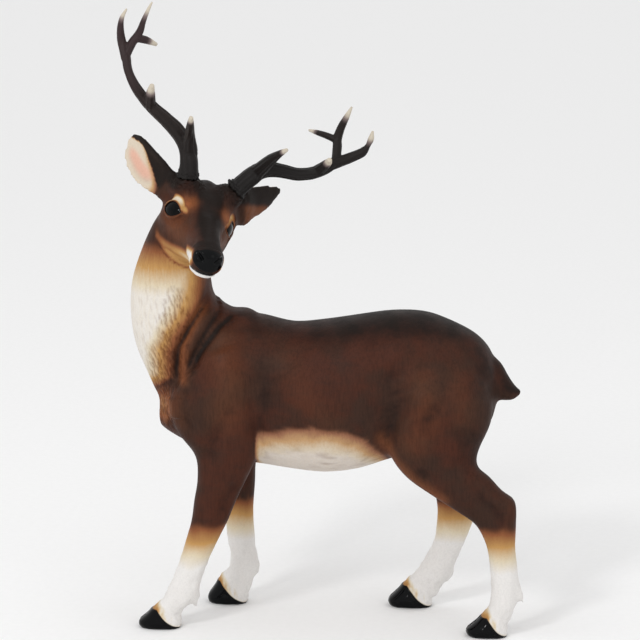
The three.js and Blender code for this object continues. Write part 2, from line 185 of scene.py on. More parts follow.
# Antlers in the head's frame: forward, left, up and radius
ANTLER_RIGHT = {
    "beam": [
        (9.5, -18.4, 5.5, 7.6), (8, -20.8, 16.5, 6.6), (3, -25.8, 27, 6.2), (0, -35, 35, 5.8),
        (-2, -45, 40.5, 5.2), (-4, -61, 48.5, 4.4), (-6, -73, 57, 3.7), (-13, -81, 65, 3.2),
        (-21, -85, 73, 3.4),
    ],
    "tines": [
        [(5, -21.6, 23, 5.8), (12, -27.7, 38.5, 3.9), (22, -31.6, 50, 2.8), (29, -34.3, 58.5, 1.6)],
        [(-3, -60, 48, 4.4), (3, -63.4, 59, 3.3), (7, -65, 67, 1.7)],
        [(-20, -85, 71, 3), (-27, -90.5, 81.5, 3.2), (-26, -94, 89.5, 2.7), (-25, -96, 99, 1.8),
         (-23, -95, 108, 0.7)],
        [(-21, -85, 72.5, 3), (-26, -83, 82.5, 3.2), (-27, -80, 92, 2.8), (-26, -80, 102, 2),
         (-27, -79, 111, 1.3), (-27, -78, 117, 0.6)],
        [(-26, -82, 87, 3), (-29, -73, 86.5, 2.8), (-33, -64, 84, 1.4)],
    ],
}
ANTLER_LEFT = {
    "beam": [
        (10, 18.5, 5.5, 6.8), (9, 27, 18.8, 6.8), (7, 35, 26.4, 6.3), (9, 47, 29.2, 5.1), (12, 60, 31.4, 4.7),
        (14, 71, 37.5, 4.6), (11, 80, 44, 4.2), (6, 86, 50, 3.4),
    ],
    "tines": [
        [(8, 30, 22.6, 5.8), (21, 34, 40.3, 4), (29, 36.5, 49.1, 2.7), (35.5, 39.5, 56.3, 1.3)],
        [(14, 72, 39, 4.4), (21, 75, 49, 3.1), (26, 74.5, 54, 1.7)],
        [(10, 80, 44, 4.2), (8, 93, 53, 3.8), (10, 100.6, 61.5, 3.2), (10, 102.6, 71, 2.3),
         (11, 101.6, 79, 0.9)],
        [(8, 84, 47, 3.4), (0, 83, 56, 3.4), (-4, 82, 61, 3.4), (-5, 82, 69, 3), (-4, 83, 79, 2.2),
         (-3, 84, 88, 0.8)],
        [(-3, 83, 59.5, 2.8), (-7, 75.2, 59.5, 2.5), (-14, 68.4, 57.5, 2), (-20, 63, 55.5, 0.8)],
    ],
}
# Seats of the antlers on the skull: radius at the top and in the skull, how much they narrow, and depth
SEAT_RADIUS = 8.2
SEAT_FOOT_RADIUS = 13
SEAT_WAIST = 0.6
SEAT_DEPTH = 12
# Burrs, the raised rings at the antlers' roots
BURR_RADIUS = 8.3
BURR_HEIGHT = 2.6
# Radius of the burr, foot to top, as shares of BURR_RADIUS
BURR_SHARES = (0.8, 0.97, 1, 0.93, 0.8)
# Where the lowest ring of the burr lies, as a share of its height
BURR_FOOT = 0.02

# Sides of a ring and steps from ring to ring, before the forms are fused
TRUNK_SIDES = 64
LIMB_SIDES = 32
EAR_SIDES = 40
BEAM_SIDES = 24
TINE_SIDES = 20
TUFT_SIDES = 16
STEPS_PER_RING = 4
EAR_STEPS = 6
BRANCH_STEPS = 8
EYE_SEGMENTS = (48, 32)
# Squareness of a ring: 2 is an ellipse, more is boxier
ROUND = 2
BODY_SQUARENESS = 2.2
HOOF_SQUARENESS = 2.4
# No branch of an antler runs this way, so its rings are turned by it
RING_GUIDE = (0.3, 0.2, 1)


def paint(code):
    """The linear colour of a paint given as a hexadecimal code."""
    channels = [int(code[i:i + 2], 16) / 255 for i in (0, 2, 4)]
    return tuple(c / 12.92 if c <= 0.04045 else ((c + 0.055) / 1.055) ** 2.4 for c in channels)


def smoothstep(low, high, value):
    """0 at low, 1 at high, with a soft change between them."""
    share = np.clip((value - low) / (high - low), 0, 1)
    return share * share * (3 - 2 * share)


def falloff(gap, width):
    """1 where the gap is 0, and next to nothing from twice the width on."""
    return np.exp(-(gap / width) ** 2)


def oval(across, up, middle, reach):
    """1 in the middle of an oval patch, fading out around it."""
    return np.exp(-(((across - middle[0]) / reach[0]) ** 2 + ((up - middle[1]) / reach[1]) ** 2))


def tapered(along, share):
    """1 along a stroke, fading to 0 over this share of it at both ends."""
    return smoothstep(0, share, along) * smoothstep(1, 1 - share, along)


def spline(stations, steps):
    """Catmull-Rom through rows of numbers, sampled at steps + 1 even places."""
    rows = np.array(stations, float)
    rows = np.vstack([2 * rows[0] - rows[1], rows, 2 * rows[-1] - rows[-2]])
    place = np.linspace(0, len(rows) - 3, steps + 1)
    low = np.minimum(place.astype(int), len(rows) - 4)
    f = (place - low)[:, None]
    a, b, c, d = (rows[low + i] for i in range(4))
    square = 2 * a - 5 * b + 4 * c - d
    cube = 3 * b - a - 3 * c + d
    return 0.5 * (2 * b + (c - a) * f + square * f ** 2 + cube * f ** 3)


def tube(rings, sides, steps_per_ring=STEPS_PER_RING):
    """A closed form through rings: centre, two half axes, squareness and cup, eleven numbers a ring."""
    steps = (len(rings) - 1) * steps_per_ring
    track = spline(rings, steps)
    form = bmesh.new()
    bmesh.ops.create_cone(form, cap_ends=True, segments=sides, radius1=1, radius2=1, depth=1)
    risers = [edge for edge in form.edges if abs(edge.verts[0].co.z - edge.verts[1].co.z) > 0.5]
    bmesh.ops.subdivide_edges(form, edges=risers, cuts=steps - 1)
    for vert in form.verts:
        row = track[round((vert.co.z + 0.5) * steps)]
        angle = math.atan2(vert.co.y, vert.co.x)
        power = 2 / row[9]
        across = math.copysign(abs(math.cos(angle)) ** power, math.cos(angle))
        along = math.copysign(abs(math.sin(angle)) ** power, math.sin(angle)) - row[10] * across ** 2
        vert.co = Vector(row[0:3] + row[3:6] * across + row[6:9] * along)
    bmesh.ops.recalc_face_normals(form, faces=form.faces)
    return form


def upright_ring(x, top, bottom, half, square=BODY_SQUARENESS):
    """A ring of the trunk or the head, square to X."""
    return (x, 0, (top + bottom) / 2, 0, 0, (top - bottom) / 2, 0, half, 0, square, 0)


def leaning_ring(front_x, front_z, back_x, back_z, half, y):
    """A ring between a place on the front and one on the back of a limb."""
    middle = ((front_x + back_x) / 2, y, (front_z + back_z) / 2)
    return (*middle, (front_x - back_x) / 2, 0, (front_z - back_z) / 2, 0, half, 0, BODY_SQUARENESS, 0)


def limb(stations, side=1, sides=LIMB_SIDES):
    """A form through leaning rings, on the left at side -1 and on the right at side 1."""
    return tube([leaning_ring(*row[:5], row[5] * side) for row in stations], sides)


def hoof(toe, heel, wall_x, wall_z, y):
    """A hoof with a flat sole."""
    sole = -ORIGIN_SHIFT[2]
    rings = []
    for height, lean, setback, narrowing in HOOF_RINGS:
        front = toe + (wall_x - toe) * lean
        back = heel - setback
        z = sole + (wall_z - sole) * height
        half = HOOF_HALF_WIDTH - narrowing
        rings.append(((front + back) / 2, y, z, (front - back) / 2, 0, 0, 0, half, 0, HOOF_SQUARENESS, 0))
    return tube(rings, LIMB_SIDES)


def tuft(root, middle, tip, y):
    """A tapering tuft of hair behind a fetlock."""
    rings = [
        (x, y, z, half, 0, half / 2, 0, depth, 0, ROUND, 0)
        for (x, z), (half, depth) in zip((root, middle, tip), TUFT_SIZES)
    ]
    return tube(rings, TUFT_SIDES)


def ear_face(side):
    """The way an ear is turned, in the head's frame."""
    ahead, aside, up = EAR_FACE
    return Vector((ahead, aside * side, up)).normalized()


def ear_rings(stations):
    """Flat rings along an ear, square to the way that it is turned."""
    root, tip = Vector(stations[0][:3]), Vector(stations[-1][:3])
    face = ear_face(math.copysign(1, root.y))
    breadth = (tip - root).cross(face).normalized()
    return [(*row[:3], *(breadth * row[3]), *(face * -row[4]), ROUND, row[5]) for row in stations]


def branch_rings(points):
    """Round rings square to a path of points that each carry a radius."""
    path = spline([p[:3] for p in points], (len(points) - 1) * BRANCH_STEPS)
    headings = np.gradient(path, axis=0)[::BRANCH_STEPS]
    rings = []
    for point, heading in zip(points, headings):
        heading = Vector(heading).normalized()
        aside = heading.cross(Vector(RING_GUIDE)).normalized()
        rings.append((*point[:3], *(aside * point[3]), *(aside.cross(heading) * point[3]), ROUND, 0))
    return rings


def in_head(form):
    """Moves a form from the head's frame to the figure's."""
    bmesh.ops.transform(form, matrix=HEAD_FRAME, verts=form.verts)
    return form


def seat(beam):
    """The raised seat of an antler on the skull."""
    foot = Vector(beam[0][:3])
    heading = (Vector(beam[1][:3]) - foot).normalized()
    points = [
        (*(foot - heading * SEAT_DEPTH), SEAT_FOOT_RADIUS),
        (*(foot - heading * SEAT_DEPTH / 2), (SEAT_FOOT_RADIUS + SEAT_RADIUS) / 2 - SEAT_WAIST),
        (*foot, SEAT_RADIUS),
    ]
    return in_head(tube(branch_rings(points), LIMB_SIDES))


def fused(forms, step):
    """One closed skin over overlapping closed forms, its vertices about step apart."""
    whole = bmesh.new()
    for form in forms:
        mesh = bpy.data.meshes.new("form")
        form.to_mesh(mesh)
        whole.from_mesh(mesh)
        bpy.data.meshes.remove(mesh)
        form.free()
    mesh = bpy.data.meshes.new("forms")
    whole.to_mesh(mesh)
    whole.free()
    lump = bpy.data.objects.new("forms", mesh)
    bpy.context.scene.collection.objects.link(lump)
    melt = lump.modifiers.new("Melt", "REMESH")
    melt.mode = "VOXEL"
    melt.voxel_size = step
    skin = bpy.data.meshes.new_from_object(lump.evaluated_get(bpy.context.evaluated_depsgraph_get()))
    bpy.data.objects.remove(lump)
    bpy.data.meshes.remove(mesh)
    return skin


def places(mesh):
    """The vertices of a mesh, one row each."""
    flat = np.empty(len(mesh.vertices) * 3, np.float32)
    mesh.vertices.foreach_get("co", flat)
    return flat.reshape(-1, 3).astype(float)


def normals(mesh):
    """The way each vertex of a mesh faces."""
    flat = np.empty(len(mesh.vertices) * 3, np.float32)
    mesh.vertex_normals.foreach_get("vector", flat)
    return flat.reshape(-1, 3).astype(float)


def edge_pairs(mesh):
    """The two vertices of every edge."""
    flat = np.empty(len(mesh.edges) * 2, np.int32)
    mesh.edges.foreach_get("vertices", flat)
    return flat.reshape(-1, 2)


def put(mesh, points):
    """Moves the vertices of a mesh."""
    mesh.vertices.foreach_set("co", points.astype(np.float32).ravel())
    mesh.update()


# Shares of the way to its neighbours' middle that smoothing moves a vertex, in and back out
PULL_IN = 0.5
PUSH_BACK = 0.53


class Web:
    """Which vertices of a mesh are neighbours, to average and spread values over its surface."""

    def __init__(self, mesh):
        self.pairs = edge_pairs(mesh)
        self.count = len(mesh.vertices)
        self.degree = np.maximum(np.bincount(self.pairs.ravel(), minlength=self.count), 1)

    def average(self, values):
        """The mean of each vertex's neighbours."""
        one, other = self.pairs.T
        if values.ndim == 1:
            total = np.bincount(one, values[other], self.count)
            total = total + np.bincount(other, values[one], self.count)
            return total / self.degree
        return np.column_stack([self.average(column) for column in values.T])

    def spread(self, mask, rounds):
        """Grows a mask by one ring of neighbours a round."""
        for _ in range(rounds):
            grown = mask.copy()
            np.maximum.at(grown, self.pairs[:, 0], mask[self.pairs[:, 1]])
            np.maximum.at(grown, self.pairs[:, 1], mask[self.pairs[:, 0]])
            mask = grown
        return mask

    def relaxed(self, points, weight, rounds, keep=PUSH_BACK):
        """Smoothed points. keep is the share that is pushed back out, so that thin forms don't shrink."""
        for _ in range(rounds):
            points = points + (self.average(points) - points) * (PULL_IN * weight)[:, None]
            points = points - (self.average(points) - points) * (keep * weight)[:, None]
        return points


CREASE_BEND = 0.012
CREASE_SPREAD = 3
CREASE_BLUR = 4
CREASE_ROUNDS = 24
CREASE_PUSH_BACK = 0.3


def soften_creases(mesh, guarded):
    """Fillets the lines where one form meets another, apart from the guarded vertices."""
    web = Web(mesh)
    facing = normals(mesh)
    bend = 1 - (facing * web.average(facing)).sum(1)
    crease = web.spread((bend > CREASE_BEND).astype(float) * ~guarded, CREASE_SPREAD)
    for _ in range(CREASE_BLUR):
        crease = web.average(crease)
    weight = np.clip(crease, 0, 1) * ~guarded
    put(mesh, web.relaxed(places(mesh), weight, CREASE_ROUNDS, CREASE_PUSH_BACK))


def refine(mesh, chosen):
    """Halves the spacing of the vertices that are chosen."""
    form = bmesh.new()
    form.from_mesh(mesh)
    form.verts.ensure_lookup_table()
    inside = set(np.flatnonzero(chosen).tolist())
    edges = [e for e in form.edges if e.verts[0].index in inside and e.verts[1].index in inside]
    bmesh.ops.subdivide_edges(form, edges=edges, cuts=1, use_grid_fill=True)
    form.to_mesh(mesh)
    form.free()
    mesh.update()


def settle(mesh, name, replaced, material):
    """Turns a finished mesh into the piece that stands for CAD nodes."""
    mesh.transform(SETTLED)
    mesh.shade_smooth()
    mesh.name = name
    piece = bpy.data.objects.new(name, mesh)
    bpy.context.scene.collection.objects.link(piece)
    piece.data.materials.append(material)
    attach(piece, "root")
    if replaced:
        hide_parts(replaced)
    return piece


def path_distance(points, path):
    """Distance of each point to a polyline, and how far along it the nearest place is, from 0 to 1."""
    path = np.array(path, float)
    best = np.full(len(points), np.inf)
    along = np.zeros(len(points))
    lengths = np.linalg.norm(np.diff(path, axis=0), axis=1)
    total, walked = lengths.sum(), 0.0
    for start, end, length in zip(path[:-1], path[1:], lengths):
        heading = (end - start) / max(length, 1e-9)
        share = np.clip((points - start) @ heading, 0, length)
        gap = np.linalg.norm(points - start - share[:, None] * heading, axis=1)
        nearer = gap < best
        best[nearer] = gap[nearer]
        along[nearer] = (walked + share[nearer]) / total
        walked += length
    return best, along


def set_attribute(mesh, name, values):
    """Stores a number for every vertex, for the paints to read."""
    layer = mesh.attributes.new(name, "FLOAT", "POINT")
    layer.data.foreach_set("value", np.asarray(values, np.float32))


def head_places(points):
    """Places as seen in the head's frame: forward, left and up from the crown."""
    return (points - np.array(CROWN)) @ np.array(HEAD_AXES.to_matrix())


# Scales the depth of every groove and the height of every swelling
FOLD_DEPTH = 1.4
# How far a surface has to face sideways to be modelled and painted as a flank
SIDEWAYS = (0.1, 0.6)
# Grooves of the flank: X and Z along the groove, half width, depth
FLANK_GROOVES = [
    ([(-60, 238), (-73, 227), (-80, 218), (-88, 206), (-92, 196)], 3.2, 2.6),
    ([(-71, 243), (-80, 229), (-87, 217), (-94, 203), (-97, 192)], 2.8, 2.3),
    ([(-80, 252), (-86, 241), (-95, 227), (-103, 212), (-105, 196), (-104, 180)], 2.6, 2.4),
    ([(-34, 200), (-38, 182), (-40, 167), (-43, 144)], 5, 2.2),
    ([(-10, 214), (-20, 200), (-28, 188)], 5, 1.2),
    ([(-94, 181), (-98, 169), (-96, 160), (-88, 149)], 4, 1.6),
    ([(-57, 176), (-69, 158), (-77, 141), (-80, 125)], 6, 1.8),
    ([(63, 195), (59, 171), (55, 155), (46, 143)], 5.5, 2.4),
    ([(49, 193), (60, 196), (70, 203)], 6, 1.8),
    ([(96, 177), (85, 166), (74, 155)], 6, 2.2),
    ([(79, 217), (82, 198)], 5, 1.2),
    ([(115, 116), (126, 104), (138, 93), (141, 80)], 3.2, 2),
    ([(74, 128), (85, 116)], 6, 1.8),
    ([(-57, 116), (-66, 99), (-73, 86)], 3.5, 1.5),
]
# Swellings of the flank, written the same way
FLANK_SWELLINGS = [
    ([(-70, 215), (-62, 190), (-66, 165)], 14, 3.4),
    ([(-104, 176), (-101, 160)], 9, 2.6),
    ([(78, 190), (84, 170), (72, 145)], 13, 3),
    ([(105, 190), (112, 165)], 11, 2),
    ([(-22, 205), (-8, 180), (10, 160)], 12, 1.6),
    ([(-66, 232), (-78, 219), (-86, 204)], 3, 1.1),
    ([(-76, 240), (-86, 222), (-92, 206)], 3.5, 1.2),
    ([(146, 103), (147, 88)], 6, 0.8),
]


def on_the_head(head):
    """1 on the skull, the ears and the antlers' seats, 0 on the neck."""
    f, w, k = head.T
    rows = np.array(HEAD, float)
    top, bottom, half, power = (np.interp(f, rows[:, 0], rows[:, i]) for i in range(1, 5))
    middle, height = (top + bottom) / 2, (top - bottom) / 2
    out = (np.abs(w / half) ** power + np.abs((k - middle) / height) ** power) ** (1 / power)
    skull = smoothstep(1.2, 1.06, out) * (f > -17)
    ears = smoothstep(21, 26, np.abs(w)) * (k > -24) * (k < 20)
    crown = smoothstep(-16, -10, k) * (f > -16)
    return np.maximum(np.maximum(skull, ears), crown) * (np.linalg.norm(head - (35, 0, -20), axis=1) < 110)


def model_flanks(points, facing):
    """Presses the grooves and raises the muscles of both flanks."""
    moved = np.zeros(len(points))
    side_view = points[:, [0, 2]]
    outward = smoothstep(*SIDEWAYS, facing[:, 1] * np.sign(points[:, 1]))
    body = outward * (1 - on_the_head(head_places(points)))
    for strokes, sign in ((FLANK_GROOVES, -1), (FLANK_SWELLINGS, 1)):
        for path, width, depth in strokes:
            gap, along = path_distance(side_view, path)
            ends = tapered(along, 0.15) * 0.7 + 0.3
            moved += sign * FOLD_DEPTH * depth * falloff(gap, width) * ends
    return points + facing * (moved * body)[:, None]


MOUTH_LINE = [
    (58, 12.4, -38), (66, 12.4, -35.6), (74, 12, -33.3), (82, 9.6, -32.5), (87, 5, -32.3), (88.3, 0, -32.3),
]
# Touches of the head in its own frame: path, width, height. Each is made on both sides of the face
HEAD_TOUCHES = [
    ([(7, 27, -6), (16, 26, -2), (27, 21, -3)], 4.5, 1.5),
    ([(14, 27, -27), (27, 25, -27), (42, 19, -22)], 4, 1.3),
    ([(38, 16.5, -14), (46, 14.5, -17.5)], 2.6, -1.2),
    ([(50, 12, -15), (68, 11, -19)], 4, -0.8),
    ([(8, 28, -40), (20, 26, -46)], 7, 1.3),
    ([(36, 20, -36), (50, 15.5, -32)], 6, -1.3),
    ([(6, 28, -49), (20, 25, -54)], 3, 0.9),
    ([(60, 13.5, -29), (73, 12.5, -31)], 2.4, -0.7),
    ([(76, 12, -25), (82, 10.5, -28)], 3.5, 0.9),
    (MOUTH_LINE, 0.9, -1.5),
    ([(76, 11.5, -35.8), (84, 7.5, -36.2), (86.5, 0, -36.2)], 1.8, 0.9),
    ([(86, 8.6, -19.6), (88, 7, -20.4), (89, 5.2, -22)], 1.25, -2),
    ([(85, 7.6, -17), (88.4, 4.6, -18.2)], 1.6, 0.6),
    ([(91, 0, -22), (91, 0, -30)], 0.8, -0.7),
    ([(2, 28, -14), (8, 28, -30)], 9, 1.2),
    ([(20, 0, 2), (38, 0, -5)], 6, -0.9),
    ([(46, 0, -8), (74, 0, -13)], 5, 0.8),
    ([(-12, 0, 0), (4, 0, 4)], 4, 1),
]
# Where those touches are made: middle and reach of the face, and how far aside
FACE_MIDDLE = (35, 8, -24)
FACE_REACH = 82
FACE_ASIDE = 34
# The pad of the nose: height of its middle, half width, half height, where it starts, how far it stands out
NOSE_PAD = (-22.4, 11.4, 7.7)
NOSE_PAD_START = 72
NOSE_PAD_RISE = 0.8
# The cheek on the far side is pressed in: depth, middle and reach along the head
FAR_CHEEK_PRESS = 2.2
FAR_CHEEK_MIDDLE = 17
FAR_CHEEK_REACH = 14
# The crown is rough round the antlers' seats: where the roughness ends and is full, height and grain size
CROWN_ROUGHNESS = (17, 11)
CROWN_ROUGH_HEIGHT = 1.5
CROWN_ROUGH_GRAIN = 3.2
# The white upper lip beside the nose
LIP_SIDE = [(57, 13, -34), (68, 12, -30.5), (79, 11.5, -26.5)]
# The edge of the jaw: forward place and height
JAW_EDGE_PLACES = (-6, 8, 20, 32, 44, 56, 66)
JAW_EDGE_HEIGHTS = (-41, -43, -46, -45, -42, -39.5, -37)

# Eyes in the head's frame: middle of the ball for the deer's right and left, and which way they look
EYE_PLACES = ((22.9, -21.3, -17.1), (25, 17, -20))
EYE_LOOKS = {-1: (0.5, -0.82, 0.27), 1: (0.36, 0.91, 0.16)}
EYE_SLANT = (-0.374, 0.084, 0.924)
EYE_HALF_AXES = (10.4, 8, 6)
LID_BACK = 7.3
LID_FRONT = 8.8
LID_UPPER = 6
LID_LOWER = 5
LID_THICKNESS = 0.9
# Where the lid is thickest outside its edge, how soft it is, and how far the skin sinks behind the ball
LID_RIDGE = 1.3
LID_SOFTNESS = 1.9
SOCKET_DEPTH = 1.4
# How far the shaping of an eye reaches, its fade, and the change of that fade towards the nose, by side
EYE_REACH = 26
EYE_FADE = 8
EYE_FADE_AHEAD = {-1: 5, 1: -3.5}

# In what follows, a pair of numbers in a fade is where it is at 0 and where it is at 1
# Where the bib ends on the flank side of the neck: height and X
BIB_EDGE_HEIGHTS = (165, 178, 184, 189, 199, 209, 220, 227, 234, 242, 249, 262, 300)
BIB_EDGE_PLACES = (-125, -119, -111, -105, -104, -104, -99, -95, -90, -86, -83, -81, -81)
BIB_TOP = 294
BIB_TOP_FADE = 44
BIB_FADE = 27
# Fade at the foot of the bib, and how white the bib gets
BIB_FOOT = (165, 182)
BIB_STRENGTH = 0.87
# Where the belly's pale patch ends: X and height
BELLY_EDGE_PLACES = (-60, -45, -32, -11, 8, 26, 40, 51, 60)
BELLY_EDGE_HEIGHTS = (150, 152.5, 156.5, 159.5, 159.5, 155.5, 147.5, 136, 123)
BELLY_FADE = 30
BELLY_STRENGTH = 0.86
BELLY_FRONT = (-46.5, -43)
BELLY_BACK = (58, 46)
BELLY_BOTTOM = 100
# The patch stops at the front legs: how far aside, and how far back they reach
ARMPIT_SIDE = (43, 46)
ARMPIT_BACK = -37
# Where each sock starts, front left, front right, hind left and hind right, and its fade
SOCK_TOPS = (83, 88, 86, 88)
SOCK_FADE = 40
SOCK_LIMIT = 95
# Brown line over the hooves: how far up it fades, and how much of the sock's white it takes away
CORONET_FADE = (11, 0.5)
CORONET_BROWN = 0.6
# How much the edges of bib, belly and socks waver
BIB_WAVER = 0.05
BELLY_WAVER = 0.12
SOCK_WAVER = 0.05
WAVER_SIZE = 9
# Cream patch on the chest: strength, middle and reach in X and Z
CHEST_PALE = 0.26
CHEST_MIDDLE = (-117, 166)
CHEST_REACH = (11, 16)

# Airbrushed dark of back, rump, tail and buttock: strength, then fades along X, along Z or with how far
# the surface faces up, and the least that each fade leaves
AIRBRUSHED = [
    (0.85, [("up", 0.2, 0.95, 0), ("z", 198, 230, 0), ("x", -105, -85, 0), ("x", -60, 30, 0.5)]),
    (0.7, [("x", 100, 128, 0), ("z", 150, 205, 0)]),
    (0.85, [("x", 128, 140, 0), ("z", 150, 165, 0), ("up", -0.5, 0.3, 0)]),
    (0.5, [("x", 90, 120, 0), ("z", 112, 135, 0), ("z", 185, 150, 0)]),
]
# Painted shade in the hollows and folds of the surface
HOLLOW_PAINTED_SHADE = 0.32
# No dark paint, painted shade, rust or painted light is put below this height
SOCK_LINE = 85
# Painted shade in the grooves, stronger and narrower in the folds of the neck, which start above this height
NECK_FOLD_HEIGHT = 230
NECK_FOLD_PAINTED_SHADE = 0.21
NECK_FOLD_POWER = 1.6
NECK_FOLD_WIDTH = 0.85
GROOVE_PAINTED_SHADE = 0.26
GROOVE_WIDTH = 1.1
GROOVE_LIMIT = 0.9
# Rusty edges in X and Z: the front of the thigh, and where the bib meets the shoulder
THIGH_EDGE = [(50, 148), (57, 131), (76, 113), (95, 102)]
THIGH_RUST = 0.45
THIGH_RUST_TOP = 175
COLLAR_EDGE = [(-88, 240), (-100, 215), (-100, 190)]
COLLAR_RUST = 0.65
RUST_WIDTH = 5
# Painted light: the flank's swellings are painted lighter, in orange brown
SWELLING_PAINTED_LIGHT = 0.05
CHEEK_RUST = 0.34
# Strength of the cream on the upper lids by side, under the eyes, on the muzzle and in the ears
LID_CREAM = {-1: 0.78, 1: 0.5}
LOWER_LID_CREAM = 0.13
MUZZLE_WHITE = 0.95
EAR_CREAM = 0.74
EAR_TAN = 0.42
EAR_PINK = 0.72
EAR_RUST = 0.55
LIP_WIDTH = 1.25

# Regions of carved hair: middle, reach, flow, count, length, width, depth
LOCKS = [
    ((-106, -24, 222), (15, 20, 42), (0.3, 0, -1), 260, 8, 0.6, 0.5),
    ((-114, -20, 196), (16, 22, 30), (0.3, 0, -1), 230, 8, 0.6, 0.55),
    ((-124, -16, 225), (18, 22, 50), (0.2, 0, -1), 90, 9, 0.7, 0.15),
    ((-112, -16, 168), (16, 26, 22), (0.1, 0, -1), 190, 7, 0.7, 0.6),
    ((-92, -24, 188), (14, 20, 34), (-0.35, 0, -1), 90, 9, 0.8, 0.35),
    ((5, -30, 134), (56, 24, 16), (1, 0, -0.12), 170, 9, 0.8, 0.3),
]
# How far the ivory reaches down from the tip of each tine
TIP_REACHES = {
    "antler_right": (6, 9, 10, 13, 9),
    "antler_left": (6, 7, 10, 11, 8),
}


def nearest_on(points, path):
    """The nearest place on a polyline for each point, and the heading of the polyline there."""
    path = np.array(path, float)
    best = np.full(len(points), np.inf)
    foot, heading = np.zeros((len(points), 3)), np.zeros((len(points), 3))
    for start, end in zip(path[:-1], path[1:]):
        length = np.linalg.norm(end - start)
        ahead = (end - start) / length
        place = start + np.clip((points - start) @ ahead, 0, length)[:, None] * ahead
        gap = np.linalg.norm(points - place, axis=1)
        nearer = gap < best
        best[nearer], foot[nearer], heading[nearer] = gap[nearer], place[nearer], ahead
    return best, foot, heading


def waviness(points, size, rows=None):
    """Smooth noise from -1 to 1 at the points, its waves about size millimetres long."""
    values = np.zeros(len(points))
    for row in range(len(points)) if rows is None else rows:
        values[row] = noise.noise(Vector(points[row]) / size)
    return values


def head_facing(facing):
    """Directions as seen in the head's frame."""
    return facing @ np.array(HEAD_AXES.to_matrix())


def eye_place(side):
    """The middle of the eyeball on the right, side -1, or on the left, side 1."""
    return EYE_PLACES[0 if side < 0 else 1]


def eye_axes(side):
    """Along the lids towards the nose, across them upwards, and out of the skull."""
    look = Vector(EYE_LOOKS[side]).normalized()
    slant = Vector((EYE_SLANT[0], -EYE_SLANT[1] * side, EYE_SLANT[2]))
    ahead = look.cross(slant).normalized() * side
    if ahead.x < 0:
        ahead = -ahead
    across = look.cross(ahead).normalized()
    if across.z < 0:
        across = -across
    return np.array(ahead), np.array(across), np.array(look)


def lid_gap(ahead, across):
    """How far a place is outside the opening between the lids, negative inside it."""
    share = np.clip((ahead + LID_BACK) / (LID_BACK + LID_FRONT), 0, 1)
    arch = (4 * share * (1 - share)) ** 0.7 * (1.12 - 0.3 * share)
    over = np.maximum(across - LID_UPPER * arch, -LID_LOWER * arch - across)
    beyond = np.maximum(ahead - LID_FRONT, -LID_BACK - ahead)
    return np.where(beyond > 0, np.hypot(beyond, across), over)


def eye_view(head, side):
    """Places as seen by the eye: along the lids, across them, outwards, and the gap to the lids."""
    ahead, across, look = eye_axes(side)
    offset = head - np.array(eye_place(side))
    views = offset @ ahead, offset @ across, offset @ look
    return *views, lid_gap(views[0], views[1])


def carve_eyes(points, facing):
    """Sinks the skin under each eyeball, wraps the lids over it and blends them into the skull."""
    head, out = head_places(points), head_facing(facing)
    axes = np.array(HEAD_AXES.to_matrix())
    long_axis, short_axis, deep_axis = EYE_HALF_AXES
    for side in (-1, 1):
        ahead, across, height, gap = eye_view(head, side)
        look = eye_axes(side)[2]
        reach = np.linalg.norm(head - np.array(eye_place(side)), axis=1)
        near = (reach < EYE_REACH) & (out @ look > 0.05) & (height > -6)
        bulge = 1 - (ahead / long_axis) ** 2 - (across / short_axis) ** 2
        ball = deep_axis * np.sqrt(np.maximum(bulge, 0.08))
        step = smoothstep(-0.9, 0.4, gap)
        lid = LID_THICKNESS * falloff(gap - LID_RIDGE, LID_SOFTNESS) * (1 + 0.5 * (across > 0))
        wanted = ball - SOCKET_DEPTH * (1 - step) + lid * step
        fade = smoothstep(EYE_FADE + EYE_FADE_AHEAD[side] * smoothstep(0, 9, ahead), 1.8, gap)
        change = (wanted - height) * fade * near
        points = points + change[:, None] * (axes @ look)
        head = head_places(points)
    return points


def touch_head(points, facing):
    """Presses and raises the features of the face, and lifts the pad of the nose."""
    head = head_places(points)
    mirrored = np.column_stack([head[:, 0], np.abs(head[:, 1]), head[:, 2]])
    reached = np.linalg.norm(mirrored - FACE_MIDDLE, axis=1) < FACE_REACH
    near = np.flatnonzero(reached & (mirrored[:, 1] < FACE_ASIDE))
    moved = np.zeros(len(points))
    for path, width, height in HEAD_TOUCHES:
        gap = path_distance(mirrored[near], path)[0]
        moved[near] += height * falloff(gap, width)
    moved += NOSE_PAD_RISE * smoothstep(0.2, 0.75, nose_pad(head))
    press = FAR_CHEEK_PRESS * falloff(head[near, 0] - FAR_CHEEK_MIDDLE, FAR_CHEEK_REACH)
    press *= smoothstep(12, 22, head[near, 1])
    press *= smoothstep(-20, -26, head[near, 2])
    moved[near] -= press
    roots = np.minimum(*[
        np.hypot(head[:, 0] - beam[0][0], head[:, 1] - beam[0][1])
        for beam in (ANTLER_LEFT["beam"], ANTLER_RIGHT["beam"])
    ])
    up = head[:, 2]
    rough = smoothstep(*CROWN_ROUGHNESS, roots) * smoothstep(-5, 0, up) * smoothstep(10, 5, up)
    rows = np.flatnonzero(rough > 0.02)
    grain = np.abs(waviness(points, CROWN_ROUGH_GRAIN, rows))
    moved += rough * (CROWN_ROUGH_HEIGHT * grain * 2 - 0.2)
    return points + facing * moved[:, None]


def nose_pad(head):
    """1 on the pad of the nose, 0 off it."""
    middle, half_width, half_height = NOSE_PAD
    shape = np.hypot(head[:, 1] / half_width, (head[:, 2] - middle) / half_height)
    return smoothstep(1.1, 0.92, shape) * (head[:, 0] > NOSE_PAD_START)


def hollow_ears(points, facing):
    """Cups the face of each ear inside its rim."""
    head, out = head_places(points), head_facing(facing)
    for rings, side in EARS:
        centre, along, across, half = ear_view(head, rings)
        inside = smoothstep(0.95, 0.3, np.abs(across) / half) * smoothstep(0.16, 0.4, along)
        inside *= smoothstep(1.01, 0.8, along) * (out @ ear_opening(side) > 0.1) * (centre < 22)
        points = points - facing * (inside * EAR_HOLLOW)[:, None]
    return points


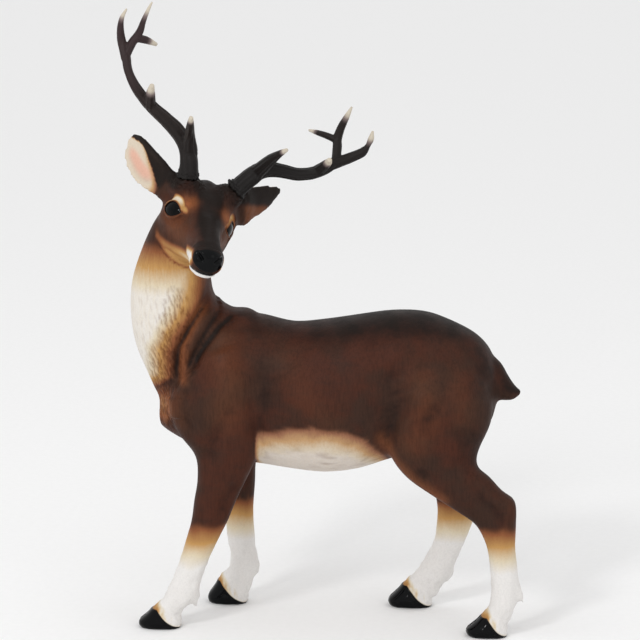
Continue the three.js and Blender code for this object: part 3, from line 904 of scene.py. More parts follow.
def ear_opening(side):
    """The way that an ear's hollow looks."""
    return np.array(ear_face(side)) * EAR_OPENINGS[side]


def ear_view(head, rings):
    """Distance from the ear's middle line, share of its length, place across it and its half breadth."""
    rows = np.array(rings, float)
    centre, along = path_distance(head, rows[:, :3])
    face = ear_face(math.copysign(1, rows[0, 1]))
    breadth = np.array(Vector(rows[-1, :3] - rows[0, :3]).cross(face).normalized())
    stations = np.linspace(0, 1, len(rows))
    middle = np.column_stack([np.interp(along, stations, rows[:, i]) for i in range(3)])
    half = np.interp(along, stations, rows[:, 3])
    return centre, along, (head - middle) @ breadth, half


def carve_locks(points, facing, seed=7):
    """Cuts short tapering strokes of hair, and returns how deep each place was cut."""
    random = np.random.default_rng(seed)
    cut = np.zeros(len(points))
    for middle, reach, flow, count, length, width, depth in LOCKS:
        place = (points - middle) / reach
        inside = np.sum(place ** 2, axis=1) < 1
        if flow[0] == 1:
            inside &= facing[:, 2] < 0.3
        rows = np.flatnonzero(inside)
        for pick in random.choice(rows, count):
            heading = np.array(flow) + random.normal(0, 0.12, 3)
            heading -= facing[pick] * (heading @ facing[pick])
            heading /= np.linalg.norm(heading)
            bend = np.cross(heading, facing[pick]) * random.normal(0, 0.6)
            size = length * random.uniform(0.6, 1.2)
            start = points[pick]
            stroke = (start, start + heading * size / 2 + bend, start + heading * size)
            close = rows[np.linalg.norm(points[rows] - stroke[1], axis=1) < size]
            gap, along = path_distance(points[close], stroke)
            taper = smoothstep(0, 0.3, along) * smoothstep(1, 0.5, along)
            fade = 1 - np.sum(place[pick] ** 2)
            deep = depth * np.exp(-(gap / width) ** 2) * taper * (0.35 + 0.65 * min(1, fade * 2))
            cut[close] = np.maximum(cut[close], deep)
    return points - facing * cut[:, None], cut


def hoof_view(points):
    """For the nearest hoof: inside its reach or not, height over the wall's edge, and place across it."""
    reach = np.zeros(len(points), bool)
    over = np.full(len(points), float(FAR_ABOVE))
    across = np.zeros(len(points))
    sole = -ORIGIN_SHIFT[2]
    for toe, heel, wall_x, wall_z, y in HOOVES:
        inside = (points[:, 0] > toe - HOOF_AHEAD) & (points[:, 0] < heel + HOOF_BEHIND)
        inside &= (points[:, 2] < HOOF_ABOVE) & (np.abs(points[:, 1] - y) < HOOF_ASIDE)
        back = np.clip((points[:, 0] - wall_x) / (heel - wall_x), 0, 1)
        line = sole + WALL_FOOT + (wall_z - WALL_DROP - sole) * (1 - back) ** WALL_CURVE
        reach |= inside
        over = np.where(inside, points[:, 2] - line, over)
        across = np.where(inside, points[:, 1] - y, across)
    return reach, over, across


def shape_feet(points, facing):
    """Splits the hooves, lifts their rims, roughens the socks and flattens the soles."""
    reach, over, across = hoof_view(points)
    toes = (facing[:, 0] < -0.15) * reach
    split = HOOF_SPLIT[0] * falloff(across, HOOF_SPLIT[1]) * toes * smoothstep(1, -2, over)
    rim = HOOF_RIM[0] * falloff(over + 1, HOOF_RIM[1]) * reach
    sock = smoothstep(*SOCK_FUR_TOP, points[:, 2]) * smoothstep(-1, 3, over)
    rows = np.flatnonzero(sock > 0.02)
    stretched = points * SOCK_FUR_STRETCH
    fur = sock * sum(height * waviness(stretched, size, rows) for height, size in SOCK_FUR)
    points = points + facing * (rim - split + fur)[:, None]
    points[:, 2] = np.maximum(points[:, 2], -ORIGIN_SHIFT[2])
    return points


def in_legs(points):
    """The number of the leg that each low place belongs to, in the order of the hooves."""
    return 2 * (points[:, 0] >= 0) + (points[:, 1] >= 0)


def hollows(points, facing, web):
    """1 in the folds and grooves of the surface, 0 on its swellings."""
    found = np.zeros(len(points))
    smooth = points
    for _ in range(3):
        for _ in range(5):
            smooth = web.average(smooth)
        found = np.maximum(found, np.sum((smooth - points) * facing, axis=1))
    for _ in range(4):
        found = web.average(found)
    return smoothstep(0.05, 0.75, found)


def coat_pale(points, facing, wave, body, hoof_parts):
    """The cream and white of the coat, with the bib and the belly also on their own."""
    x, y, z = points.T
    reach, over = hoof_parts
    edge = np.interp(z, BIB_EDGE_HEIGHTS, BIB_EDGE_PLACES)
    top = np.clip((BIB_TOP - z) / BIB_TOP_FADE, 0, 1)
    side = (edge - x) / BIB_FADE + BIB_WAVER * wave
    bib = BIB_STRENGTH * np.clip(np.minimum(side, top), 0, 1) * smoothstep(*BIB_FOOT, z) * body
    edge = np.interp(x, BELLY_EDGE_PLACES, BELLY_EDGE_HEIGHTS)
    belly = np.clip((edge - z) / BELLY_FADE + BELLY_WAVER * wave, 0, BELLY_STRENGTH)
    belly *= smoothstep(*BELLY_FRONT, x) * smoothstep(*BELLY_BACK, x) * (z > BELLY_BOTTOM)
    belly *= 1 - smoothstep(*ARMPIT_SIDE, np.abs(y)) * (x < ARMPIT_BACK)
    sock_top = np.array(SOCK_TOPS)[in_legs(points)]
    socks = np.clip((sock_top - z) / SOCK_FADE + SOCK_WAVER * wave, 0, 1) * (z < SOCK_LIMIT)
    coronet = reach * smoothstep(*CORONET_FADE, over) * smoothstep(0.5, -0.4, facing[:, 0])
    socks = socks * (1 - CORONET_BROWN * coronet) * (1 - 0.2 * reach * smoothstep(2.5, 0, over))
    chest = CHEST_PALE * oval(x, z, CHEST_MIDDLE, CHEST_REACH)
    return np.maximum.reduce([bib, belly, socks, chest]), bib, belly


def coat_dark_and_painted_shade(points, facing, web, pale, sides):
    """The airbrushed dark paint of the coat, and painted shade in its hollows and grooves."""
    x, z = points[:, 0], points[:, 2]
    views = {"x": x, "z": z, "up": facing[:, 2]}
    dusk = np.zeros(len(points))
    for strength, fades in AIRBRUSHED:
        dark = strength
        for view, start, end, least in fades:
            dark = dark * (least + (1 - least) * smoothstep(start, end, views[view]))
        dusk = np.maximum(dusk, dark)
    # Painted shade in the hollows of the surface, kept off the pale fur
    dusk = np.maximum(dusk, HOLLOW_PAINTED_SHADE * hollows(points, facing, web) * (z > SOCK_LINE) * (1 - 0.9 * pale))
    # Painted shade along the grooves of the flanks and the folds of the neck
    for path, width, depth in FLANK_GROOVES:
        gap, along = path_distance(points[:, [0, 2]], path)
        ends = tapered(along, 0.2)
        if path[0][1] > NECK_FOLD_HEIGHT:
            line = NECK_FOLD_PAINTED_SHADE * depth ** NECK_FOLD_POWER * falloff(gap, NECK_FOLD_WIDTH * width)
            line = line * (0.3 + 0.7 * ends)
        else:
            line = GROOVE_PAINTED_SHADE * depth * falloff(gap, GROOVE_WIDTH * width) * ends
        dusk = np.maximum(dusk, np.clip(line, 0, GROOVE_LIMIT) * sides * (z > SOCK_LINE))
    return dusk


def coat_rust_and_painted_light(points, sides):
    """Orange brown paint on the thigh's edge and between bib and shoulder, painted light on the swellings."""
    z = points[:, 2]
    side_view = points[:, [0, 2]]
    rust = THIGH_RUST * falloff(path_distance(side_view, THIGH_EDGE)[0], RUST_WIDTH)
    rust *= (z < THIGH_RUST_TOP) & (z > SOCK_LINE)
    # Painted light on the swellings of the flank
    for path, width, height in FLANK_SWELLINGS:
        gap = path_distance(side_view, path)[0]
        rust = np.maximum(rust, SWELLING_PAINTED_LIGHT * height * falloff(gap, width) * sides)
    return np.maximum(rust, COLLAR_RUST * falloff(path_distance(side_view, COLLAR_EDGE)[0], RUST_WIDTH))


def face_dusk(head):
    """The dark of the crown, the stripe down the face, the smudge on the cheek and the top of the nose."""
    f, w, k = head.T
    stripe = smoothstep(15, 7, np.abs(w - 0.5) + np.maximum(0, f - 30) * 0.08)
    crown = smoothstep(-9, 0, k + 0.06 * f) * smoothstep(34, 12, f)
    face = np.maximum(stripe * smoothstep(-40, -20, k + 0.35 * (f - 40)), crown)
    smudge = 0.36 * oval(f, k, (24, -33), (13, 8)) + 0.1 * smoothstep(-46, -36, k)
    nose = smoothstep(66, 76, f) * smoothstep(-30, -22, k) * smoothstep(14, 9, np.abs(w))
    return np.maximum.reduce([face, smudge, nose * 0.85])


def ear_paint(head, out):
    """Paint of the ears: the pale hollow, its pink middle, the dark back and that back's rusty lower half."""
    pale, pink, coat, rust = np.zeros((4, len(head)))
    for rings, side in EARS:
        centre, along, across, half = ear_view(head, rings)
        ear = (centre < 20) * smoothstep(0.1, 0.22, along)
        front = smoothstep(0.1, 0.45, out @ ear_opening(side)) * ear
        spot = across / half
        limit = 1.72 * along - 0.76 - 0.5 * smoothstep(0.75, 1, along)
        front *= smoothstep(0.07, -0.07, spot - limit)
        middle = falloff(spot + 0.4, 0.36) * smoothstep(0.2, 0.5, along) * smoothstep(1, 0.75, along)
        pink = np.maximum(pink, EAR_PINK * front * middle)
        tan = smoothstep(-0.4, -0.05, spot - limit) * smoothstep(0.85, 0.3, along)
        pale = np.maximum(pale, front * (EAR_CREAM - EAR_TAN * tan) * smoothstep(0.12, 0.34, along))
        above = smoothstep(-0.5, 0.15, head @ EAR_UPWARD - EAR_MIDDLE) if side > 0 else 1
        coat = np.maximum(coat, ear * (1 - front) * (0.15 + 0.85 * above))
        rust = np.maximum(rust, ear * (1 - front) * (1 - above) * EAR_RUST)
    return pale, pink, coat, rust


def eye_paint(head, dusk, ink):
    """Paint round the eyes: cream lids, rusty brows, and the black line along the lids' edges."""
    brow, lids = np.zeros((2, len(head)))
    for side in (-1, 1):
        ahead, above, height, gap = eye_view(head, side)
        half = head[:, 1] * side > 0
        near = (np.abs(height - 3) < 9) & half
        upper = smoothstep(0.3, 2, gap) * smoothstep(7.4, 3.2, gap) * smoothstep(-2, 3, above)
        upper *= 1 - 0.45 * smoothstep(2, 9, ahead)
        lower = LOWER_LID_CREAM * smoothstep(0.3, 1.2, gap) * smoothstep(2.6, 1.4, gap)
        lids = np.maximum(lids, np.maximum(LID_CREAM[side] * upper, lower) * near)
        patch = oval(ahead, above, (10, 7), (7, 6))
        below = 0.3 * oval(ahead, above, (9, -8), (11, 4))
        brow = np.maximum(brow, np.maximum(patch, below) * (np.abs(height) < 16) * half)
        liner = smoothstep(0.5, -0.1, gap) * near
        dusk = np.maximum(dusk * (1 - 0.85 * brow * (gap > 0)), liner)
        ink = np.maximum(ink, liner * 0.8)
    return brow, lids, dusk, ink


def muzzle_pale(head):
    """The white muzzle and chin, and the cream line along the jaw."""
    f, w, k = head.T
    lip_side = path_distance(np.column_stack([f, np.abs(w), k]), LIP_SIDE)[0]
    muzzle = np.minimum(1, 1.5 * falloff(lip_side, 4.3)) * smoothstep(6, 9, np.abs(w))
    chin = smoothstep(-31.8, -33.4, k + 0.3 * np.maximum(0, 80 - f)) * smoothstep(46, 74, f)
    under = k - np.interp(f, JAW_EDGE_PLACES, JAW_EDGE_HEIGHTS)
    jaw = falloff(under - 1, 4.6) * (0.3 + 0.36 * smoothstep(22, 58, f)) * smoothstep(-6, 8, f)
    jaw = np.maximum(jaw, 0.4 * smoothstep(1, -3, under) * (f > -6)) * smoothstep(80, 66, f)
    return np.maximum.reduce([MUZZLE_WHITE * muzzle, MUZZLE_WHITE * chin, jaw])


def paint_masks(points, facing, cut, web):
    """How much of each paint every vertex carries, from 0 to 1."""
    x, y, z = points.T
    head, out = head_places(points), head_facing(facing)
    f, w, k = head.T
    wave = waviness(points, WAVER_SIZE)
    skull = on_the_head(head)
    body = 1 - skull
    sides = smoothstep(*SIDEWAYS, facing[:, 1] * np.sign(y)) * body
    reach, over = hoof_view(points)[:2]
    ink = smoothstep(1.5, -1.1, over + 0.5 * wave) * reach
    pale, bib, belly = coat_pale(points, facing, wave, body, (reach, over))
    dusk = coat_dark_and_painted_shade(points, facing, web, pale, sides)
    rust = coat_rust_and_painted_light(points, sides)
    ear_pale, pink, ear_coat, ear_rust = ear_paint(head, out)
    head_dusk = np.maximum(face_dusk(head) * (1 - smoothstep(0, 0.3, ear_pale)), ear_coat)
    brow, lids, head_dusk, ink = eye_paint(head, head_dusk, ink)
    lips = falloff(path_distance(np.column_stack([f, np.abs(w), k]), MOUTH_LINE)[0], LIP_WIDTH)
    ink = np.maximum.reduce([ink, nose_pad(head), lips * skull])
    head_pale = np.maximum.reduce([lids, muzzle_pale(head), ear_pale])
    clear = 1 - smoothstep(0.3, 0.8, head_pale) * (ink < 0.2)
    cheek = CHEEK_RUST * oval(f, k, (32, -27), (22, 11)) * smoothstep(3, 9, np.abs(w))
    hair = smoothstep(0, 0.3, bib) + smoothstep(0, 0.3, belly)
    hair = hair + smoothstep(190, 170, z) * (x < -95) * (z > 130)
    masks = {
        "pale": np.maximum(pale * body, head_pale * skull),
        # dusk holds the airbrushed dark paint and the painted shade; rust holds orange brown paint and
        # painted light
        "dusk": dusk * body + head_dusk * skull * clear,
        "rust": rust * body + np.maximum.reduce([brow, ear_rust, cheek]) * skull,
        "ink": ink,
        "pink": pink * skull,
        "cut": cut / 0.6,
        "hair": hair,
        "belly": np.maximum(belly, ear_pale * skull),
    }
    return {name: np.clip(values, 0, 1) for name, values in masks.items()}


class Recipe:
    """A paint under construction: a material whose nodes are added one at a time."""

    def __init__(self, name):
        self.material = bpy.data.materials.new(name)
        self.material.use_nodes = True
        self.tree = self.material.node_tree
        self.shader = self.tree.nodes["Principled BSDF"]

    def add(self, kind, settings=None, **inputs):
        """A new node, with its settings and with values or links for its inputs."""
        node = self.tree.nodes.new(kind)
        for name, value in (settings or {}).items():
            setattr(node, name, value)
        for name, value in inputs.items():
            self.feed(node.inputs[name.replace("_", " ")], value)
        return node

    def feed(self, socket, value):
        """Links an output to a socket, or sets the socket's value."""
        if isinstance(value, bpy.types.NodeSocket):
            self.tree.links.new(value, socket)
        else:
            socket.default_value = value

    def place(self, scale=(1, 1, 1), turn=(0, 0, 0)):
        """The piece's own coordinates in metres, stretched and turned."""
        coordinates = self.add("ShaderNodeTexCoord").outputs["Object"]
        mapping = self.add("ShaderNodeMapping", Vector=coordinates, Rotation=turn, Scale=scale)
        return mapping.outputs["Vector"]

    def mottle(self, vector, waves, detail=4, roughness=0.6, distortion=0):
        """Noise from 0 to 1 with this many waves a metre."""
        made = self.add("ShaderNodeTexNoise", Vector=vector, Scale=waves, Detail=detail,
                        Roughness=roughness, Distortion=distortion)
        return made.outputs["Fac"]

    def between(self, value, low, high, to_low=0, to_high=1):
        """A soft change from to_low at low to to_high at high."""
        made = self.add("ShaderNodeMapRange", {"interpolation_type": "SMOOTHSTEP"}, Value=value,
                        From_Min=low, From_Max=high, To_Min=to_low, To_Max=to_high)
        return made.outputs["Result"]

    def calculate(self, operation, one, other):
        """One step of arithmetic."""
        node = self.add("ShaderNodeMath", {"operation": operation})
        self.feed(node.inputs[0], one)
        self.feed(node.inputs[1], other)
        return node.outputs[0]

    def plus(self, one, other):
        return self.calculate("ADD", one, other)

    def times(self, one, other):
        return self.calculate("MULTIPLY", one, other)

    def sway(self, noise_value, reach):
        """Noise centred on 0 and scaled by reach."""
        return self.times(self.calculate("SUBTRACT", noise_value, 0.5), reach)

    def blend(self, share, under, over, mode="MIX"):
        """One colour over another."""
        node = self.add("ShaderNodeMix", {"data_type": "RGBA", "blend_type": mode})
        self.feed(node.inputs["Factor"], share)
        for socket, colour in ((node.inputs[6], under), (node.inputs[7], over)):
            self.feed(socket, colour if isinstance(colour, bpy.types.NodeSocket) else (*colour, 1))
        return node.outputs[2]

    def mask(self, name):
        """A number that the mesh carries at every vertex."""
        return self.add("ShaderNodeAttribute", {"attribute_name": name}).outputs["Fac"]

    def ramp(self, value, stops):
        """A colour for every value, from stops that each have a place and a colour."""
        node = self.add("ShaderNodeValToRGB", Fac=value)
        for place, colour in stops[1:-1]:
            node.color_ramp.elements.new(place)
        for element, (place, colour) in zip(node.color_ramp.elements, stops):
            element.position = place
            element.color = (*colour, 1)
        return node.outputs["Color"]

    def greys(self, value, stops):
        """A grey for every value."""
        return self.ramp(value, [(place, (grey,) * 3) for place, grey in stops])

    def finish(self, colour, roughness, gloss, relief):
        """Sets the paint's colour, roughness and gloss, and its relief: height, distance and strength."""
        height, distance, strength = relief
        bump = self.add("ShaderNodeBump", Height=height, Distance=distance, Strength=strength)
        self.feed(self.shader.inputs["Base Color"], colour)
        self.feed(self.shader.inputs["Roughness"], roughness)
        self.feed(self.shader.inputs["Normal"], bump.outputs["Normal"])
        self.shader.inputs["Specular IOR Level"].default_value = gloss
        return self.material


COAT_GLOSS = 0.12
ANTLER_GLOSS = 0.18
EYE_GLOSS = 0.09
PAPER_GLOSS = 0.1
# Fine specks: where in the noise, and how far they darken
COAT_SPECKS = ((0.3, 0.72), (0.5, 0.9), (0.7, 1))
ANTLER_SPECKS = ((0.3, 0.7), (0.5, 0.9), (0.7, 1))
COAT_GRAIN = ((0.38, 0.6), (0.52, 0.95), (0.68, 1.12))


def coat_paint(paints):
    """Matt brown sprayed paint, airbrushed dark, painted shade and light, cream fur, gloss black hooves and
    nose.
    """
    recipe = Recipe("Coat")
    plain = recipe.place()
    strands = recipe.place(scale=(1, 1, 0.13), turn=(0, math.radians(-16), 0))
    broad = recipe.mottle(plain, 26, 3, 0.55)
    patches = recipe.mottle(plain, 70, 4, 0.6)
    specks = recipe.mottle(plain, 700, 3, 0.7)
    streaks = recipe.mottle(strands, 620, 4, 0.65, 0.4)
    brushed = recipe.mottle(recipe.place(scale=(0.35, 1, 1)), 120, 4, 0.6)
    hair, ink, pale_share = recipe.mask("hair"), recipe.mask("ink"), recipe.mask("pale")

    brown = recipe.blend(recipe.between(broad, 0.38, 0.62), paints.coat, paints.russet)
    brown = recipe.blend(recipe.between(brushed, 0.42, 0.78, 0, 0.45), brown, paints.umber)
    # The rust mask adds orange brown paint and the painted light on the swellings
    brown = recipe.blend(recipe.mask("rust"), brown, paints.rust)
    brown = recipe.blend(0.45, brown, recipe.greys(streaks, COAT_GRAIN), "MULTIPLY")

    jitter = recipe.sway(streaks, recipe.between(hair, 0, 1, 0.06, 0.2))
    pale = recipe.plus(pale_share, recipe.times(jitter, recipe.between(pale_share, 0.02, 0.25)))
    fur = recipe.ramp(pale, [
        (0, paints.russet), (0.2, paints.tan), (0.44, paints.gold), (0.7, paints.cream), (0.95, paints.white),
    ])
    fur = recipe.blend(recipe.times(recipe.mask("belly"), 0.42), fur, paints.belly)
    colour = recipe.blend(recipe.between(pale, 0.02, 0.2), brown, fur)
    pink = recipe.between(recipe.plus(recipe.mask("pink"), jitter), 0.15, 0.7, 0, 0.75)
    colour = recipe.blend(pink, colour, paints.pink)

    # The dusk mask darkens with airbrushed dark paint and with painted shade in hollows and grooves
    dusk = recipe.plus(recipe.mask("dusk"), recipe.sway(patches, 0.8))
    shade = recipe.ramp(dusk, [(0.45, paints.shade), (0.95, paints.dusk)])
    colour = recipe.blend(recipe.between(dusk, 0.12, 0.95, 0, 0.94), colour, shade)
    colour = recipe.blend(recipe.times(recipe.mask("cut"), 0.75), colour, paints.hair_wash, "MULTIPLY")
    colour = recipe.blend(0.35, colour, recipe.greys(specks, COAT_SPECKS), "MULTIPLY")

    lacquer = recipe.between(ink, 0.3, 0.7)
    colour = recipe.blend(lacquer, colour, paints.gloss_black)
    roughness = recipe.add("ShaderNodeMix", {"data_type": "FLOAT"})
    recipe.feed(roughness.inputs[0], lacquer)
    recipe.feed(roughness.inputs[2], recipe.between(patches, 0.3, 0.7, 0.5, 0.62))
    recipe.feed(roughness.inputs[3], recipe.between(specks, 0.3, 0.8, 0.06, 0.13))
    combed = recipe.times(streaks, recipe.between(hair, 0, 1, 0.15, 1))
    grain = recipe.plus(combed, recipe.times(specks, 0.22))
    grain = recipe.times(grain, recipe.calculate("SUBTRACT", 1.0, lacquer))
    return recipe.finish(colour, roughness.outputs[0], COAT_GLOSS, (grain, 0.0007, 0.8))


def antler_paint(paints):
    """Near-black brown at the root, plum brown above and ivory at the tips, over a fine speckled relief."""
    recipe = Recipe("Antler")
    plain = recipe.place()
    cloud = recipe.mottle(plain, 60, 4, 0.6)
    specks = recipe.mottle(plain, 900, 4, 0.7)
    height = recipe.add("ShaderNodeSeparateXYZ", Vector=plain).outputs["Z"]
    height = recipe.plus(height, recipe.sway(cloud, 0.03))
    climb = recipe.between(height, 0.33, 0.47)
    horn = recipe.ramp(climb, [(0, paints.horn_root), (0.35, paints.horn), (1, paints.plum)])
    horn = recipe.blend(recipe.mask("furrow"), horn, paints.horn_root)
    ivory = recipe.plus(recipe.mask("ivory"), recipe.sway(cloud, 0.25))
    colour = recipe.blend(recipe.between(ivory, 0.05, 0.6, 0, 0.75), horn, paints.plum_light)
    colour = recipe.blend(recipe.between(ivory, 0.45, 0.95), colour, paints.ivory)
    colour = recipe.blend(0.4, colour, recipe.greys(specks, ANTLER_SPECKS), "MULTIPLY")
    roughness = recipe.between(cloud, 0.3, 0.7, 0.42, 0.56)
    return recipe.finish(colour, roughness, ANTLER_GLOSS, (specks, 0.0004, 0.6))


def eye_lacquer(paints):
    """Clear gloss over black, mottled with a faint brown."""
    recipe = Recipe("Eye lacquer")
    iris = recipe.mottle(recipe.place(), 500, 3, 0.6)
    colour = recipe.blend(recipe.between(iris, 0.45, 0.7, 0, 0.5), paints.gloss_black, paints.iris)
    roughness = recipe.between(iris, 0.3, 0.7, 0.05, 0.09)
    return recipe.finish(colour, roughness, EYE_GLOSS, (iris, 0.00002, 0.2))


def floor_paint(paints):
    """Plain pale studio paper."""
    recipe = Recipe("Studio paper")
    fibres = recipe.mottle(recipe.place(), 180, 4, 0.6)
    shade = [channel * 0.985 for channel in paints.paper]
    colour = recipe.blend(recipe.between(fibres, 0.35, 0.65), paints.paper, shade)
    roughness = recipe.between(fibres, 0.3, 0.7, 0.85, 0.95)
    return recipe.finish(colour, roughness, PAPER_GLOSS, (fibres, 0.0001, 0.1))


def thin_out(mesh, chosen, ratio):
    """Takes away some of the chosen vertices, where they aren't needed for the shape."""
    lump = bpy.data.objects.new("lump", mesh)
    bpy.context.scene.collection.objects.link(lump)
    group = lump.vertex_groups.new(name="plain")
    group.add(np.flatnonzero(chosen).tolist(), 1.0, "REPLACE")
    thin = lump.modifiers.new("Thin out", "DECIMATE")
    thin.ratio = ratio
    thin.vertex_group = group.name
    thinned = bpy.data.meshes.new_from_object(lump.evaluated_get(bpy.context.evaluated_depsgraph_get()))
    bpy.data.objects.remove(lump)
    bpy.data.meshes.remove(mesh)
    return thinned


# Lowest part of the head, over which the face is made finer
HEAD_BOTTOM = 262
# Back edge of the bib's fine mesh: height and X
FINE_BIB_HEIGHTS = (150, 175, 190, 240, 270)
FINE_BIB_PLACES = (-96, -98, -86, -58, -80)
FEET_TOP = 22
# Thin forms that keep their creases: under the ankles, the ears beyond the skull, and the tail
ANKLE_TOP = 24
EAR_START = 34
TAIL_START = 142
# Smoothing before the carving, and how long the ears are smoothed
SKIN_ROUNDS = 3
EAR_ROUNDS = 34


def fine_places(points):
    """Where the surface carries small detail: face, bib, chest and hooves."""
    x, y, z = points.T
    f, w, k = head_places(points).T
    face = (f > 2) & (z > HEAD_BOTTOM) & (np.abs(w) < 30) & (k > -42)
    bib = (x < -88) & (z > 152) & (z < 268) & (y < 12)
    bib &= x < np.interp(z, FINE_BIB_HEIGHTS, FINE_BIB_PLACES)
    return face | bib | (z < FEET_TOP)


def finest_places(points):
    """Where the surface carries the finest detail: lids, nose, nostrils and mouth."""
    head = head_places(points)
    eyes = np.zeros(len(points), bool)
    for side in (-1, 1):
        height, gap = eye_view(head, side)[2:]
        eyes |= (np.abs(gap - 0.6) < 3.2) & (np.abs(height - 3) < 7) & (head[:, 1] * side > 0)
    nose = (head[:, 0] > 73) & (head[:, 2] > -37) & (points[:, 2] > HEAD_BOTTOM)
    return eyes | nose


def guarded_places(points):
    """The thin forms that mustn't be smoothed away: feet, ears and the tip of the tail."""
    head = head_places(points)
    ears = (np.abs(head[:, 1]) > EAR_START) & (head[:, 2] > -30)
    return (points[:, 2] < ANKLE_TOP) | ears | (points[:, 0] > TAIL_START)


def plain_places(points):
    """The flanks and legs, which carry no small detail."""
    x, y, z = points.T
    plain = (x > -84) & (z < 250) & (z > ANKLE_TOP)
    return plain & ~((x < -50) & (z > 190) & (y < 0))


def ear_share(points):
    """1 on the ears, 0 on the rest."""
    f, w, k = head_places(points).T
    return smoothstep(25, 31, np.abs(w)) * (k > -30) * (k < 25) * (f < 12) * (f > -50)


def cast_body(sizes, paints):
    """Fuses the forms of the body, carves the skin and paints it."""
    forms = [
        tube([upright_ring(*row) for row in TRUNK], TRUNK_SIDES),
        limb(NECK, sides=TRUNK_SIDES),
        in_head(tube([upright_ring(*row) for row in HEAD], TRUNK_SIDES)),
        in_head(tube(ear_rings(EAR_LEFT), EAR_SIDES, EAR_STEPS)),
        in_head(tube(ear_rings(EAR_RIGHT), EAR_SIDES, EAR_STEPS)),
        limb(TAIL),
        limb(FRONT_LEG_LEFT, -1),
        limb(FRONT_LEG_RIGHT, 1),
        limb(HIND_LEG_LEFT, -1),
        limb(HIND_LEG_RIGHT, 1),
        *[hoof(*row) for row in HOOVES],
        *[tuft(*row) for row in TUFTS],
        seat(ANTLER_LEFT["beam"]),
        seat(ANTLER_RIGHT["beam"]),
    ]
    mesh = fused(forms, sizes.skin_spacing)
    soften_creases(mesh, guarded_places(places(mesh)))
    mesh = thin_out(mesh, plain_places(places(mesh)), sizes.share_kept)
    put(mesh, model_flanks(places(mesh), normals(mesh)))
    refine(mesh, fine_places(places(mesh)))
    refine(mesh, finest_places(places(mesh)))
    web = Web(mesh)
    put(mesh, web.relaxed(places(mesh), np.ones(web.count), SKIN_ROUNDS))
    put(mesh, web.relaxed(places(mesh), ear_share(places(mesh)), EAR_ROUNDS))
    for shaping in (touch_head, carve_eyes, hollow_ears, shape_feet):
        put(mesh, shaping(places(mesh), normals(mesh)))
    points, cut = carve_locks(places(mesh), normals(mesh))
    put(mesh, points)
    for name, values in paint_masks(points, normals(mesh), cut, web).items():
        set_attribute(mesh, name, values)
    return settle(mesh, "body_skin", "body", coat_paint(paints))


def cast_eyes(paints):
    """Two lacquered eyeballs, each a flattened ball set under the lids."""
    for side, name in ((-1, "eye_right"), (1, "eye_left")):
        ahead, across, look = eye_axes(side)
        long_axis, short_axis, deep_axis = EYE_HALF_AXES
        columns = Matrix([ahead * long_axis, across * short_axis, look * deep_axis]).transposed()
        set_in = Matrix.Translation(eye_place(side)) @ columns.to_4x4()
        ball = bmesh.new()
        bmesh.ops.create_uvsphere(ball, u_segments=EYE_SEGMENTS[0], v_segments=EYE_SEGMENTS[1], radius=1)
        bmesh.ops.transform(ball, matrix=HEAD_FRAME @ set_in, verts=ball.verts)
        bmesh.ops.recalc_face_normals(ball, faces=ball.faces)
        mesh = bpy.data.meshes.new(name)
        ball.to_mesh(mesh)
        ball.free()
        settle(mesh, name, None, eye_lacquer(paints))


def burr_rings(beam):
    """The rough raised ring at an antler's root."""
    foot = Vector(beam[0][:3])
    heading = (Vector(beam[1][:3]) - foot).normalized()
    last = len(BURR_SHARES) - 1
    return branch_rings([
        (*(foot + heading * BURR_HEIGHT * (i / last if i else BURR_FOOT)), BURR_RADIUS * share)
        for i, share in enumerate(BURR_SHARES)
    ])


# Rounds of smoothing, furrows round a branch and their depth, grain and height of the pearls at the root
ANTLER_ROUNDS = 6
FURROWS = 9
FURROW_WAVE = 7
FURROW_DEPTH = 0.28
PEARL_GRAIN = 2.4
PEARL_HEIGHT = 1.1


def furrowed(head, branches):
    """Lengthwise furrows round every branch, from -1 to 1, and the distance to the nearest branch."""
    best = np.full(len(head), np.inf)
    furrow = np.zeros(len(head))
    for branch in branches:
        path = spline([p[:3] for p in branch], len(branch) * 4)
        gap, foot, heading = nearest_on(head, path)
        aside = np.cross(heading, RING_GUIDE)
        aside /= np.linalg.norm(aside, axis=1)[:, None]
        up = np.cross(aside, heading)
        spoke = head - foot
        angle = np.arctan2(np.sum(spoke * up, 1), np.sum(spoke * aside, 1))
        nearer = gap < best
        best[nearer] = gap[nearer]
        furrow[nearer] = np.cos(angle[nearer] * FURROWS)
    return furrow, best


